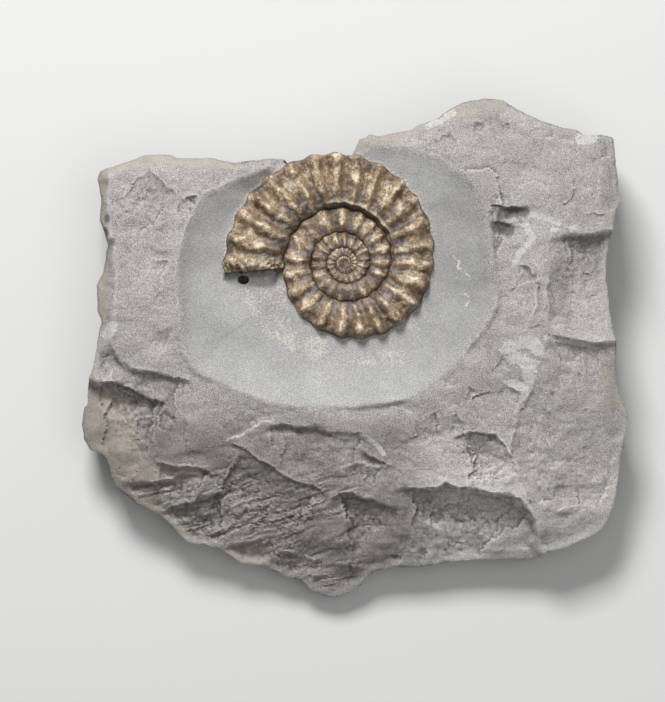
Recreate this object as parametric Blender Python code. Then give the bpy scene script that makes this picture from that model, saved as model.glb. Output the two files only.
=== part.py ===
"""Fossil ammonite half sunk in a block of mudstone, lying on its underside.

Places below are in millimetres as seen from above, x to the right, y away and z up from the underside.
The meshes are built in metres.
"""

import math
import random

import bmesh
import bpy
from mathutils import Vector, noise
from mathutils.bvhtree import BVHTree
from mathutils.geometry import delaunay_2d_cdt

MM = 0.001
SEED = 7

# The shell: a flat coil, its radius given every eighth of a turn from the open end inwards
COIL_CENTRE = (-3.8, 33.4)
OPEN_END_ANGLE = 185.0
MID_HEIGHT = 36.0
COIL_RADIUS = [
    46.6, 44.6, 42.2, 37.8, 34.3, 32.2, 29.0, 26.2,
    23.7, 22.7, 21.5, 19.4, 18.0, 15.8, 14.9, 14.0,
    13.1, 12.9, 12.0, 10.6, 9.8, 8.8, 7.9, 7.3,
    7.0, 6.6, 6.0, 5.3, 4.8, 4.4, 4.0, 3.7, 3.4,
]
SHRINK_PER_TURN = 0.55
THICKNESS_TO_WIDTH = 0.415
INNER_WHORLS_THICKER = 0.12
TOP_AT = 0.42
FLANK_ROUNDNESS = 2.5
SEAM_RISE = 0.45
RIB_CREST = [
    5, 17, 29, 41.5, 52.5, 66, 78.5, 90, 102, 115.5, 130, 142.5, 157.5,
    172.5, 186, 200.5, 214, 230.5, 246, 262.5, 278.5, 297, 315, 334, 353.5, 373,
]
INNER_RIB_STEP = 19.4
INNER_RIB_GROWTH = 0.12
RIB_HEIGHT = 0.06
RIB_MEAN = 0.4
RIB_REACH = 0.96
RIB_BLUNTNESS = 0.6
SHOULDER_KNOB = 0.04
KNOB_AT = 0.16
KNOB_WIDTH = 0.09
SCALLOP = 0.6
TURNS = 3.6
SHELL_BOTTOM = 26.3
SHELL_WALL_FOOT = 33.0
BOTTOM_TAPER = 0.88
ROWS_ACROSS = [(0.04, 0.1, 0.2, 0.35, 0.55, 0.75, 0.9), (0.12, 0.28, 0.5, 0.72, 0.88), (0.25, 0.5, 0.75)]
ROWS_TO_A_RIB = 4
LEAST_ROW_STEP = 1.2
SHARP_ABOVE = 40

# The rock around the shell
GAP = 0.3
WALL_LEAN = 0.1
RECESS_FLOOR = 26.0
OVER_EDGE = (86.4, 119.5)
EDGE_BESIDE_SHELL = (42.0, 41.5)
CONTACT_HEIGHT = [37.8, 39.2, 41.4, 42.0, 41.6, 39.8, 38.0, 37.0, 36.2, 35.8, 36.0, 36.8]
BOWL_CURVE = 1.7
GRID_STEP = 5.3
ROW_TO_GRID_STEP = 0.87
GRID_SCATTER = 0.2
CLEAR_OF_LINES = 2.1
BOWL_ROUGHNESS = 0.08
ROCK_ROUGHNESS = 0.35
BROKEN_ROUGHNESS = 0.8
BROKEN_BELOW = 34.0

# The block's upper edge, clockwise from the right of the stretch that the shell overhangs
UPPER_EDGE = [
    (0.5, 78.5, 42), (1.5, 81, 42), (4, 81.5, 42), (5.5, 83, 42), (9.5, 82.3, 42.3), (15, 83.3, 42.5),
    (22.5, 85, 42.5), (24, 86.5, 42.3), (31, 88.7, 42), (37, 93, 41.5), (43, 95.7, 41), (50, 96.9, 40.8),
    (57, 96, 41), (65, 91.3, 41.5), (72, 88, 41.5), (80, 85.5, 41.5), (85.3, 84.6, 41.5),
    (88, 82.9, 41.8), (95, 83, 41), (99.5, 81.5, 40), (100.3, 74, 40), (101.2, 66, 40),
    (101.5, 59, 40), (102.6, 56.8, 40),
    (101, 54, 40), (100, 49, 40.5), (99.5, 46, 41), (98.8, 43.8, 37.8), (98, 40, 37), (97.2, 35, 36.5),
    (96.8, 31, 36.3), (97, 27, 36.3), (98, 19, 36.5), (99, 11, 37), (99.6, 8, 37.5), (100.9, 4, 39.3),
    (101, 1.5, 36.5), (100.8, -5, 35), (100.7, -10, 34), (101.8, -16, 33), (104.2, -20.5, 32),
    (105.7, -24.5, 31.5), (105.5, -27.5, 31), (104.5, -34, 30), (102.8, -44, 28), (101.4, -55, 26),
    (101, -59.5, 25), (98.5, -65.5, 24), (96, -69.5, 23.5), (92.5, -72, 23.5), (86, -74.5, 23.5),
    (84, -76, 23.3), (80, -77.5, 23.3), (73.5, -79, 22.5), (72.5, -80.3, 19), (70, -81.5, 16.5),
    (66, -82, 16), (60, -81.7, 16), (48, -81.6, 15.5), (38, -82.5, 15), (32, -84, 14.5),
    (24, -84.8, 14.5), (16, -84.8, 14.5), (9, -86.2, 14), (6, -88, 13), (2.5, -92.3, 11),
    (-2, -95, 10), (-6.5, -96.9, 9.5),
    (-11, -96.4, 9.5), (-17, -94, 10), (-21.5, -90, 11), (-25, -89.2, 11.5), (-31, -86.7, 12.5),
    (-36, -83.9, 14), (-44, -83.4, 14.5), (-47, -81, 15.5), (-51.5, -78, 17), (-60, -76, 17.5),
    (-65, -74.8, 17.5), (-68.5, -71.5, 18), (-73, -67, 18.5), (-78, -63, 19.5), (-84, -60.5, 20),
    (-88, -57, 20.5), (-92, -54.3, 21), (-94.3, -49.5, 22), (-96, -44, 23), (-98, -40.5, 23.5),
    (-103, -38.9, 22.5), (-105, -35, 23), (-105.7, -29, 24), (-105, -22.5, 25), (-103.5, -20.5, 26),
    (-103.3, -14.5, 27.5), (-102.6, -11, 33), (-101, -6.5, 33.5), (-99.7, 0, 34), (-98.5, 8, 34.5),
    (-97.5, 10.5, 35), (-99.2, 15, 34), (-99.6, 25, 34), (-97, 30, 35), (-96, 35, 35.5), (-95.3, 40, 36),
    (-96.4, 45, 35.5), (-98.4, 50, 34.5), (-97.8, 57, 34), (-98.5, 62, 34), (-99.5, 66, 34),
    (-98, 69, 36), (-95, 70.3, 39), (-90, 71.5, 41), (-86, 73, 41.5), (-80.5, 75, 42),
    (-71, 75.3, 42.5), (-68, 73.9, 42.5), (-61, 73.7, 42.7), (-55, 73.9, 42.7),
    (-50, 72.8, 42.7), (-46, 72, 42.7), (-39, 73, 42.5),
    (-32, 73.8, 42), (-28.5, 73.7, 41.7), (-26.6, 72.9, 41.5),
]
LEDGE_UNDER_SHELL = [(-21.5, 71.2), (-16, 72.8), (-9, 73.6), (-4, 73.5)]

# The rim of the bowl that was worked into the rock, from the upper left down and round to the upper right
BOWL_RIM = [
    (-33, 69.7, 44), (-38, 67.5, 45), (-44, 65.2, 45.4), (-50, 63, 45.7), (-57, 60, 46), (-62, 52, 46),
    (-66, 42, 46), (-68, 33, 45.8), (-67.3, 24, 45.6), (-67, 15, 45.5), (-66, 2, 45), (-63, -5, 44.6),
    (-58, -9.3, 44.2), (-52, -12, 44), (-42, -16.5, 43.5), (-33, -19.8, 43), (-25, -21.2, 42.8),
    (-14, -21.3, 42.5), (0, -21.5, 42.5), (12, -20, 42.7), (20, -18.5, 43), (27, -15, 43.5),
    (32, -11, 44), (40, -3, 45), (45, 3, 45.6), (52, 13, 46), (54.3, 22, 46), (52.5, 32, 46),
    (51, 45, 46), (48, 58, 46), (45, 63, 46), (37, 70, 46), (32, 73.5, 45.7), (26, 75.3, 45.2),
    (16, 77.5, 44.5), (7, 78.2, 43.6),
]

# Creases and ledges of the broken faces; a ledge is its lip and, just below, its foot
ROCK_LINES = {
    "left bevel": [
        (-94, 66, 42.5), (-94.3, 55, 42.5), (-93.8, 45, 42.8), (-92, 38, 43), (-91.5, 30, 43),
        (-92, 20, 43), (-92.8, 12, 42.5), (-92.5, 6.5, 41.8),
    ],
    "upper left edge": [
        (-90, 68.8, 43.3), (-80, 71, 44.5), (-70, 71, 45), (-58, 70.5, 45.2), (-47, 69.2, 45.2),
        (-39, 70.3, 44.5),
    ],
    "upper left diagonal": [(-79, 69, 44.8), (-74, 65, 45.2), (-69, 61, 45.6), (-66, 58.5, 45.8)],
    "upper left facet": [(-80, 50, 44.6), (-78, 35, 44.8), (-80, 18, 44.2), (-79, 3, 43.4)],
    "left ledge lip": [
        (-93.5, 4, 40.8), (-92, 0, 40.8), (-90, -4, 41), (-85, -7.3, 41.8), (-77, -8.3, 42.8),
        (-70, -10.2, 43.3), (-63, -11.3, 43.8),
    ],
    "left ledge foot": [
        (-94.3, 2, 39.6), (-92.8, -2, 38.7), (-90.5, -5.5, 38.2), (-85, -8.6, 39), (-77, -9.8, 40),
        (-70, -11.7, 41), (-64, -12.8, 42.5),
    ],
    "left ledge tread": [(-90, -9.5, 38.3), (-78, -13.5, 40), (-69, -15.5, 41.3), (-62, -16, 42.5)],
    "left overhang lip": [
        (-102.6, -11, 33), (-98.5, -12, 36), (-94, -11.9, 37.5), (-90, -13, 38), (-85, -15, 38.8),
        (-80, -17.5, 39.3), (-76, -19, 39.8),
    ],
    "left overhang foot": [
        (-103.3, -14.5, 27.5), (-100.5, -15, 28.5), (-97, -16.8, 30), (-93, -19, 31), (-88, -20.3, 32.5),
        (-83, -20.5, 34.3), (-78, -21, 36.5), (-72, -20.8, 39), (-68, -20.3, 40.5),
    ],
    "lower left crease": [
        (-77, -25.5, 37), (-80, -28, 35.5), (-78, -33, 35.3), (-78.5, -37, 34.8), (-79, -41, 33.8),
    ],
    "lower left facet": [(-86, -27, 34), (-92, -33, 31), (-89, -40, 31.2), (-90, -47, 27.5)],
    "shoulder": [
        (-79, -41, 33.8), (-70, -39.5, 36.5), (-62, -38, 38), (-55, -36.5, 39), (-49, -35, 39.8),
        (-44, -37, 39.5), (-40, -39, 38.8), (-35, -43, 37.5), (-30, -46, 36.3), (-25, -49.5, 35.2),
        (-20, -51, 34.5), (-14, -53.5, 33.6), (-10, -55.5, 32.6),
    ],
    "band above shoulder": [
        (-70, -28, 39.8), (-60, -26, 41.6), (-49, -30, 41), (-42, -29, 41.8), (-37, -24, 42.4),
    ],
    "lit band": [(-22, -25, 42), (-8, -27, 41.8), (8, -27, 41.8), (22, -24.5, 42.3), (34, -20, 43)],
    "hollow under crack": [(-28, -38, 38.8), (-15, -41, 37.8), (-12, -48, 36), (-3, -37.5, 39)],
    "light facet arc": [
        (-5, -45, 37.4), (0, -43.5, 38.1), (3, -43, 38.3), (7, -44.5, 38.3), (12, -44.7, 38.6),
        (15, -48, 38.1), (19, -52.3, 37.4),
    ],
    "light facet": [(0, -50, 36), (8, -52.5, 36)],
    "middle hackles": [(20, -34, 41), (22, -43, 39.2), (30, -39, 40), (29, -47.5, 38.6)],
    "front lip": [
        (-8, -56.7, 34), (-3, -54.7, 35.1), (3, -56.3, 34.9), (7, -57.5, 34.5), (13, -59.6, 33.6),
        (17, -60.2, 33),
    ],
    "front lip foot": [
        (-7, -58.6, 31), (-3, -57.2, 31), (3, -58.8, 30.8), (8, -60.2, 30.5), (14, -62, 30),
    ],
    "great overhang lip": [
        (19, -52.3, 37.4), (25, -53.3, 37.3), (30, -53, 37.6), (35, -50.5, 38.5), (40, -53, 38.1),
        (46, -53, 38.3), (54, -55, 38.1), (61, -55.5, 37.4), (66, -60, 35), (70, -66, 32),
    ],
    "great overhang foot": [
        (20.5, -54.2, 34.4), (25, -55.3, 33.8), (30, -55, 33.8), (35, -52.9, 34.4), (40, -55.3, 33.8),
        (46, -55.6, 32.6), (54, -58, 31), (60, -59, 30), (64.5, -63, 28), (68, -67, 25.5),
    ],
    "dark patch lip": [(38, -33.5, 41.2), (42, -32, 41.9), (50, -31.5, 42.4), (56.5, -33.5, 42.2)],
    "dark patch": [(41, -40, 38.7), (50, -39.5, 38.4), (54, -45, 38.6), (45, -47.5, 38)],
    "right face left crease": [
        (66, -17, 43.3), (63, -25, 42.9), (61, -32, 42), (59, -38, 40.8), (60, -45, 40.2),
        (63, -50, 38.6), (67, -56, 36), (71.5, -62, 32.8),
    ],
    "right face lower crease": [
        (71.5, -62, 32.8), (75, -63.8, 30.6), (80, -62, 29.8), (85, -60, 29), (90, -59.7, 28),
        (96, -61.5, 26.3),
    ],
    "right face": [(82, -8, 40.8), (88, -25, 37.3), (82, -42, 35.2), (93, -40, 32)],
    "lower right crease": [(70, -66, 32), (71, -74, 25.5), (73.5, -79, 22.5)],
    "lower right facet": [(80, -70, 26.8), (90, -66, 26)],
    "front hollow": [(24, -64, 28.5), (40, -67, 24.8), (55, -69, 23.5), (66, -75, 19.5), (44, -76, 19)],
    "front hollow ridge": [(30, -77, 20.3), (33, -73.5, 23.3), (35, -69.5, 26)],
    "lower slope": [
        (-84, -55.5, 24), (-72, -56, 27.5), (-62, -53, 30.5), (-50, -49.5, 32.5), (-40, -51, 32.3),
        (-32, -56, 31), (-22, -60, 29.8),
    ],
    "lower slope middle": [
        (-70, -65.5, 21.5), (-58, -65, 23.7), (-45, -64, 25.5), (-30, -67, 25), (-12, -68, 26),
    ],
    "lower slope foot": [
        (-40, -76, 18.3), (-25, -79, 17.8), (-8, -79, 19), (8, -77, 20), (18, -74, 22.5),
    ],
    "bottom lobe": [(-16, -88, 13.2), (-3, -87, 13.4)],
    "white bruise": [
        (55, 1, 45.5), (60, 4, 45.8), (66, 6.5, 45.8), (73, 0, 44.6), (70, -6, 44.2), (71, -10, 43.8),
        (66, -17, 43.3), (60, -14.5, 44.2), (56, -10, 45), (55, 1, 45.5),
    ],
    "rib below bay": [
        (73, 7, 44.8), (80, 5, 44.4), (86, 3.8, 43.6), (92, 3, 42.5), (97, 3.2, 41), (100.9, 4, 39.3),
    ],
    "foot below bay": [(76, 3, 43), (83, 0.5, 41.5), (91, -0.8, 39.3), (101, 1.5, 36.5)],
    "bay floor": [(83, 36, 40.6), (82, 24, 40.3), (84, 13, 40.8), (90, 11.5, 39.8)],
    "bay left side": [(74.5, 38, 44.5), (74, 28, 44.6), (73.5, 18, 44.6), (74, 11, 44.8)],
    "bay lip": [
        (75.5, 43.5, 45.5), (79, 44.3, 45.3), (84, 45, 45), (90, 45.5, 44.4), (96, 46, 43), (99.5, 46, 41),
    ],
    "bay foot": [(79, 42, 42.3), (84, 42.7, 41.2), (90, 43, 40.3), (95, 43.5, 39), (98.8, 43.8, 37.8)],
    "right plateau": [
        (60, 62, 45.8), (62, 76, 45.6), (80, 57, 45.5), (82, 72, 45.2), (94, 68, 44), (93, 54, 44.3),
    ],
    "upper right edge": [
        (6, 80, 43.3), (20, 80.5, 44.6), (30, 83, 44.6), (38, 88, 44.4), (45, 91, 44.2), (54, 91, 44.2),
        (66, 85, 44.6), (80, 80.5, 44.6), (94, 78, 43.2),
    ],
}

# Small ledges, each with how far it drops, over what run, and its lip, whose low side is to the right
SMALL_LEDGES = [
    (2.0, 1.2, [
        (-35, -30), (-29, -28.2), (-22, -29.5), (-15, -29.5), (-10, -31.6), (-5, -31.6),
        (0, -31.8), (6, -34),
    ]),
    (1.6, 1.0, [(3, -38), (6, -40.3), (10, -41.8)]),
    (1.8, 1.2, [(-89, -51.8), (-83, -50.7), (-77, -50.8), (-70, -49.5), (-66, -47.8), (-60, -47.8)]),
    (2.2, 1.2, [(-76, -43.7), (-71, -44.5), (-65, -45), (-59, -45.4), (-55, -47)]),
    (2.0, 1.4, [(-75, -62.5), (-67, -60), (-62, -58), (-55, -55.3), (-50, -54.5)]),
    (1.3, 1.0, [(-36, -60), (-28, -62.5), (-19, -65)]),
    (2.0, 1.2, [(-51, -76.4), (-48, -75.2), (-42, -74.5), (-35, -74)]),
    (1.4, 1.0, [(-31, -82.5), (-24, -83), (-18, -84)]),
    (1.2, 1.0, [(2, -82), (10, -81.5)]),
    (1.2, 1.0, [(70, 31), (72, 26)]),
    (1.2, 1.0, [(67.5, 13), (69.5, 18), (69.3, 24), (66.5, 29), (61, 32)]),
    (1.4, 1.0, [(56, 56), (61, 55.4), (67, 55.4)]),
    (1.4, 1.0, [(56, 50.6), (60, 49), (65, 48)]),
    (1.2, 1.0, [(-78, 39.5), (-73, 39), (-70, 37)]),
]
LIP_SHARE = 0.25
FOOT_SHARE = 0.75
END_SHARE = 0.15

# The rock that fills the shell's open end, and the small hole in it
PLUG_FOOT = [(-50.5, 25.6, 37.6), (-46, 24.2, 37.2), (-40, 23.6, 37), (-33, 23.8, 37), (-28, 24.8, 37)]
PLUG_BELOW_SHELL = 0.5
HOLE_CENTRE = (-43.0, 26.7)
HOLE_RADIUS = 1.7
HOLE_TAPER = 0.7
HOLE_SIDES = 6
HOLE_RIM_HEIGHT = 40.5
HOLE_RIM_TILT = 0.5
HOLE_DEPTH = 4.5

# The sides, ring by ring below the upper edge: share of the edge's height, distance in, and unevenness
SIDE_RINGS = [(0.78, 0.9, 1.0), (0.5, 2.4, 1.8), (0.24, 5.0, 2.4), (0.07, 8.5, 2.6)]
BASE_INSET = 12.5
BASE_UNEVENNESS = 3.0
SIDE_WAVE = 0.045
SIDE_LEAST_INSET = 0.3
SIDE_SCATTER = 0.35


def clear_scene():
    """Start from an empty scene."""
    for thing in list(bpy.data.objects):
        bpy.data.objects.remove(thing)


def finish_material(name, colour, roughness):
    """A plain finish for one piece."""
    material = bpy.data.materials.new(name)
    material.use_nodes = True
    shader = material.node_tree.nodes["Principled BSDF"]
    shader.inputs["Base Color"].default_value = (*colour, 1.0)
    shader.inputs["Roughness"].default_value = roughness
    shader.inputs["Metallic"].default_value = 0.0
    return material


def distance_to_line(x, y, line):
    """Distance to a line of points, and the height of the line where it is nearest."""
    best = (1e9, 0.0)
    for start, end in zip(line, line[1:]):
        dx = end[0] - start[0]
        dy = end[1] - start[1]
        along = ((x - start[0]) * dx + (y - start[1]) * dy) / (dx * dx + dy * dy)
        along = min(max(along, 0.0), 1.0)
        away = math.hypot(x - start[0] - along * dx, y - start[1] - along * dy)
        if away < best[0]:
            best = (away, start[2] + along * (end[2] - start[2]) if len(start) > 2 else 0.0)
    return best


def inside(x, y, ring):
    """Whether a place lies inside a closed ring of points."""
    odd = False
    for start, end in zip(ring, ring[1:] + ring[:1]):
        if (start[1] > y) != (end[1] > y):
            if x < start[0] + (y - start[1]) * (end[0] - start[0]) / (end[1] - start[1]):
                odd = not odd
    return odd


class Net:
    """Points with heights and the lines between them, triangulated as seen from above."""

    def __init__(self):
        self.points = []
        self.lines = []

    def add_point(self, point):
        self.points.append(tuple(point))
        return len(self.points) - 1

    def add_line(self, line, closed=False):
        """Add a line, sharing the points that are already there, and give the places of its points."""
        places = []
        for point in line:
            known = [i for i, other in enumerate(self.points) if math.dist(other[:2], point[:2]) < 0.01]
            places.append(known[0] if known else self.add_point(point))
        self.lines += list(zip(places, places[1:]))
        if closed:
            self.lines.append((places[-1], places[0]))
        return places

    def triangles(self, ring):
        """Triangles inside the closed ring, anticlockwise seen from above."""
        flat = [Vector(point[:2]) for point in self.points]
        places, _, faces, sources, _, _ = delaunay_2d_cdt(flat, self.lines, [ring], 1, 1e-5)
        missing = [tuple(places[i]) for i, source in enumerate(sources) if not source]
        if missing:
            raise ValueError(f"lines cross at {missing}")
        source = [found[0] for found in sources]
        return [[source[i] for i in face] for face in faces]


def coil_radius(back):
    """Radius of the coil's line, so many degrees back from the open end."""
    place = back / 45.0
    whole = int(place)
    if whole < len(COIL_RADIUS) - 1:
        part = place - whole
        return COIL_RADIUS[whole] * (1 - part) + COIL_RADIUS[whole + 1] * part
    beyond = (back - 45.0 * (len(COIL_RADIUS) - 1)) / 360.0
    return COIL_RADIUS[-1] * SHRINK_PER_TURN ** beyond


def rib_place(number):
    """How many degrees back a place on the count of ribs lies, whole numbers being the crests."""
    last = len(RIB_CREST) - 1
    if number < last:
        whole = math.floor(number)
        whole = max(whole, 0)
        part = number - whole
        return RIB_CREST[whole] * (1 - part) + RIB_CREST[whole + 1] * part
    further = number - last
    return RIB_CREST[last] + INNER_RIB_STEP * further + INNER_RIB_GROWTH * further ** 2


def rib_number(back):
    """The count of ribs at a place so many degrees back, a whole number on each crest."""
    last = len(RIB_CREST) - 1
    if back < RIB_CREST[last]:
        whole = max(sum(1 for crest in RIB_CREST if crest <= back) - 1, 0)
        return whole + (back - RIB_CREST[whole]) / (RIB_CREST[whole + 1] - RIB_CREST[whole])
    under_root = INNER_RIB_STEP ** 2 + 4 * INNER_RIB_GROWTH * (back - RIB_CREST[last])
    return last + (math.sqrt(under_root) - INNER_RIB_STEP) / (2 * INNER_RIB_GROWTH)


def rib_wave(back):
    """1 on a rib's crest and 0 in the hollow between two."""
    return 0.5 + 0.5 * math.cos(2 * math.pi * rib_number(back))


def contact_height(angle):
    """Height at which the rock meets the shell's outside, by angle round the coil."""
    count = len(CONTACT_HEIGHT)
    place = (angle % 360.0) * count / 360.0
    whole = int(place)
    part = place - whole
    return CONTACT_HEIGHT[whole % count] * (1 - part) + CONTACT_HEIGHT[(whole + 1) % count] * part


def whorl_half_thickness(back):
    """Half the thickness of the whorl whose outer line is this far back."""
    width = coil_radius(back) - coil_radius(back + 360.0)
    return THICKNESS_TO_WIDTH * width * (1.0 + INNER_WHORLS_THICKER * min(back / (2 * 360.0), 1.0))


def seam_height(back):
    """Height of the seam line that lies on the next whorl in."""
    return MID_HEIGHT + SEAM_RISE * whorl_half_thickness(back)


def shell_point(back, across):
    """A point of the shell's upper side: across runs from the outer line, 0, to the inner seam, 1."""
    angle = OPEN_END_ANGLE - back
    outer = coil_radius(back)
    inner = coil_radius(back + 360.0)
    wave = rib_wave(back)
    top = MID_HEIGHT + whorl_half_thickness(back)
    if back < 360.0:
        edge = contact_height(angle)
        outer += SCALLOP * (wave - 0.5)
    else:
        edge = seam_height(back)
    if across < TOP_AT:
        side = 1 - across / TOP_AT
        low = edge
    else:
        side = (across - TOP_AT) / (1 - TOP_AT)
        low = seam_height(back + 360.0)
    rise = max(1 - side ** FLANK_ROUNDNESS, 0.0) ** (1 / FLANK_ROUNDNESS)
    height = low + (top - low) * rise
    rib = RIB_HEIGHT * math.sin(math.pi * min(across / RIB_REACH, 1.0)) ** RIB_BLUNTNESS
    knob = SHOULDER_KNOB * math.exp(-((across - KNOB_AT) / KNOB_WIDTH) ** 2)
    height += (outer - inner) * (rib + knob) * (wave - RIB_MEAN)
    radius = outer + (inner - outer) * across
    x = COIL_CENTRE[0] + radius * math.cos(math.radians(angle))
    y = COIL_CENTRE[1] + radius * math.sin(math.radians(angle))
    return (x, y, height)


def shell_stations():
    """Degrees back of each row across the shell, from the row before the first rib's crest."""
    stations = [0.0]
    row = -1
    while stations[-1] < 360.0 * TURNS:
        back = rib_place(row / ROWS_TO_A_RIB)
        if back > LEAST_ROW_STEP and abs(back - 360.0) > LEAST_ROW_STEP:
            stations.append(back)
        row += 1
        if back < 360.0 < rib_place(row / ROWS_TO_A_RIB):
            stations.append(360.0)
    return stations


def shell_ring():
    """The shell's outline from above, from its open end's outer corner round to its inner corner."""
    ring = [shell_point(back, 0.0) for back in shell_stations() if back <= 360.0]
    ring += [shell_point(0.0, across) for across in reversed(ROWS_ACROSS[0])]
    return ring


def offset_ring(ring, distance):
    """A closed ring moved outwards, square to itself, for a ring that runs clockwise."""
    moved = []
    count = len(ring)
    for i, point in enumerate(ring):
        before = Vector(ring[i - 1][:2])
        here = Vector(point[:2])
        after = Vector(ring[(i + 1) % count][:2])
        first = (here - before).normalized()
        second = (after - here).normalized()
        normal = Vector((-first.y - second.y, first.x + second.x)).normalized()
        reach = distance / max(normal.dot(Vector((-first.y, first.x))), 0.5)
        place = here + normal * reach
        moved.append((place.x, place.y, *point[2:]))
    return moved


def new_piece(name, points, faces, material, smooth_angle=None):
    """A closed mesh object from points in millimetres, all faces turned outwards."""
    mesh = bpy.data.meshes.new(name)
    form = bmesh.new()
    corners = [form.verts.new((x * MM, y * MM, z * MM)) for x, y, z in points]
    for face in faces:
        form.faces.new([corners[i] for i in face])
    loose = [corner for corner in form.verts if not corner.link_faces]
    bmesh.ops.delete(form, geom=loose, context="VERTS")
    bmesh.ops.recalc_face_normals(form, faces=form.faces)
    form.to_mesh(mesh)
    form.free()
    mesh.materials.append(material)
    if smooth_angle is not None:
        mesh.shade_smooth()
        mesh.set_sharp_from_angle(angle=math.radians(smooth_angle))
    piece = bpy.data.objects.new(name, mesh)
    bpy.context.scene.collection.objects.link(piece)
    return piece


def make_ammonite(material):
    """The shell: ribbed whorls above, a plain wall and flat bottom in the rock below."""
    net = Net()
    ring = shell_ring()
    rim = net.add_line(ring, closed=True)
    stations = shell_stations()
    seam = [shell_point(back, 1.0) for back in stations]
    net.add_line(seam)
    for back in stations[1:]:
        turn = min(int(back // 360.0), len(ROWS_ACROSS) - 1)
        for across in ROWS_ACROSS[turn]:
            net.add_point(shell_point(back, across))
    top_faces = net.triangles(rim)
    points = list(net.points)
    faces = list(top_faces)
    wall = [(x, y, SHELL_WALL_FOOT) for x, y, _ in ring]
    bottom = []
    for x, y, _ in ring:
        across = COIL_CENTRE[0] + (x - COIL_CENTRE[0]) * BOTTOM_TAPER
        away = COIL_CENTRE[1] + (y - COIL_CENTRE[1]) * BOTTOM_TAPER
        bottom.append((across, away, SHELL_BOTTOM))
    above = rim
    for lower in (wall, bottom):
        below = list(range(len(points), len(points) + len(lower)))
        points += lower
        faces += band(above, below)
        above = below
    faces += flat_fill(points, above)
    return new_piece("ammonite", points, faces, material, smooth_angle=SHARP_ABOVE)


def band(upper, lower):
    """Two triangles between each pair of neighbours of two closed rings."""
    faces = []
    for i, here in enumerate(upper):
        there = upper[(i + 1) % len(upper)]
        faces.append([here, there, lower[i]])
        faces.append([there, lower[(i + 1) % len(upper)], lower[i]])
    return faces


def flat_fill(points, ring):
    """Triangles that close a flat ring."""
    flat = [Vector(points[i][:2]) for i in ring]
    edges = [(i, (i + 1) % len(ring)) for i in range(len(ring))]
    places, _, faces, sources, _, _ = delaunay_2d_cdt(flat, edges, [list(range(len(ring)))], 1, 1e-5)
    crossings = [tuple(places[i]) for i, source in enumerate(sources) if not source]
    if crossings:
        raise ValueError(f"ring crosses itself at {crossings}")
    return [[ring[sources[i][0]] for i in face] for face in faces]


def rock_tree(net, ring):
    """Search tree over a net's triangles, to read its height at any place."""
    faces = net.triangles(ring)
    return BVHTree.FromPolygons([Vector(point) for point in net.points], faces)


class Rock:
    """The block's upper side as a height at every place."""

    def __init__(self):
        self.shell = shell_ring()
        recess = offset_ring(self.shell, GAP + WALL_LEAN)
        foot = offset_ring(self.shell, GAP)
        self.recess_ring = recess
        outside = [i for i, point in enumerate(recess) if not self.over_edge(point)]
        first = max(outside[i] for i in range(len(outside) - 1) if outside[i + 1] > outside[i] + 1)
        order = outside[outside.index(first) + 1:] + outside[:outside.index(first) + 1]
        self.recess = [recess[i] for i in order]
        longer = [order[0] - 1] + order + [(order[-1] + 1) % len(foot)]
        self.recess_foot = [(foot[i][0], foot[i][1], RECESS_FLOOR) for i in longer]
        corner_right = self.recess[0]
        corner_left = self.recess[-1]
        right_height, left_height = EDGE_BESIDE_SHELL
        self.edge = [(*corner_right[:2], right_height)] + UPPER_EDGE + [(*corner_left[:2], left_height)]
        under = [(x, y, RECESS_FLOOR) for x, y in LEDGE_UNDER_SHELL]
        self.under = [self.recess_foot[-1]] + under + [self.recess_foot[0]]
        self.tree = self.broad_surface()

    def over_edge(self, point):
        """Whether a point of the shell's outline lies where the shell overhangs the block."""
        angle = math.degrees(math.atan2(point[1] - COIL_CENTRE[1], point[0] - COIL_CENTRE[0]))
        return OVER_EDGE[0] < angle < OVER_EDGE[1]

    def broad_surface(self):
        """The surface between the main creases, as if the recess were filled."""
        net = Net()
        under = [(x, y, EDGE_BESIDE_SHELL[0]) for x, y in LEDGE_UNDER_SHELL]
        ring = net.add_line(self.edge + under, closed=True)
        net.add_line(BOWL_RIM)
        for line in ROCK_LINES.values():
            net.add_line(line)
        return rock_tree(net, ring)

    def height(self, x, y):
        """Height of the rock before its small ledges and roughness."""
        if inside(x, y, [point[:2] for point in BOWL_RIM]) and not inside(x, y, self.shell):
            to_rim, rim_height = distance_to_line(x, y, BOWL_RIM)
            to_shell, _ = distance_to_line(x, y, self.shell + self.shell[:1])
            angle = math.degrees(math.atan2(y - COIL_CENTRE[1], x - COIL_CENTRE[0]))
            low = contact_height(angle)
            return low + (rim_height - low) * (to_shell / (to_shell + to_rim)) ** BOWL_CURVE
        found = self.tree.ray_cast(Vector((x, y, 100.0)), Vector((0.0, 0.0, -1.0)))[0]
        return found.z if found else EDGE_BESIDE_SHELL[0]


def plug_top(rock):
    """The rock's height along the shell's open end, just under the shell's own section."""
    heights = {}
    for i, point in enumerate(rock.recess):
        angle = math.degrees(math.atan2(point[1] - COIL_CENTRE[1], point[0] - COIL_CENTRE[0])) % 360.0
        if abs(angle - OPEN_END_ANGLE) < 1.0:
            heights[i] = point[2] - PLUG_BELOW_SHELL
    return heights


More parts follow.
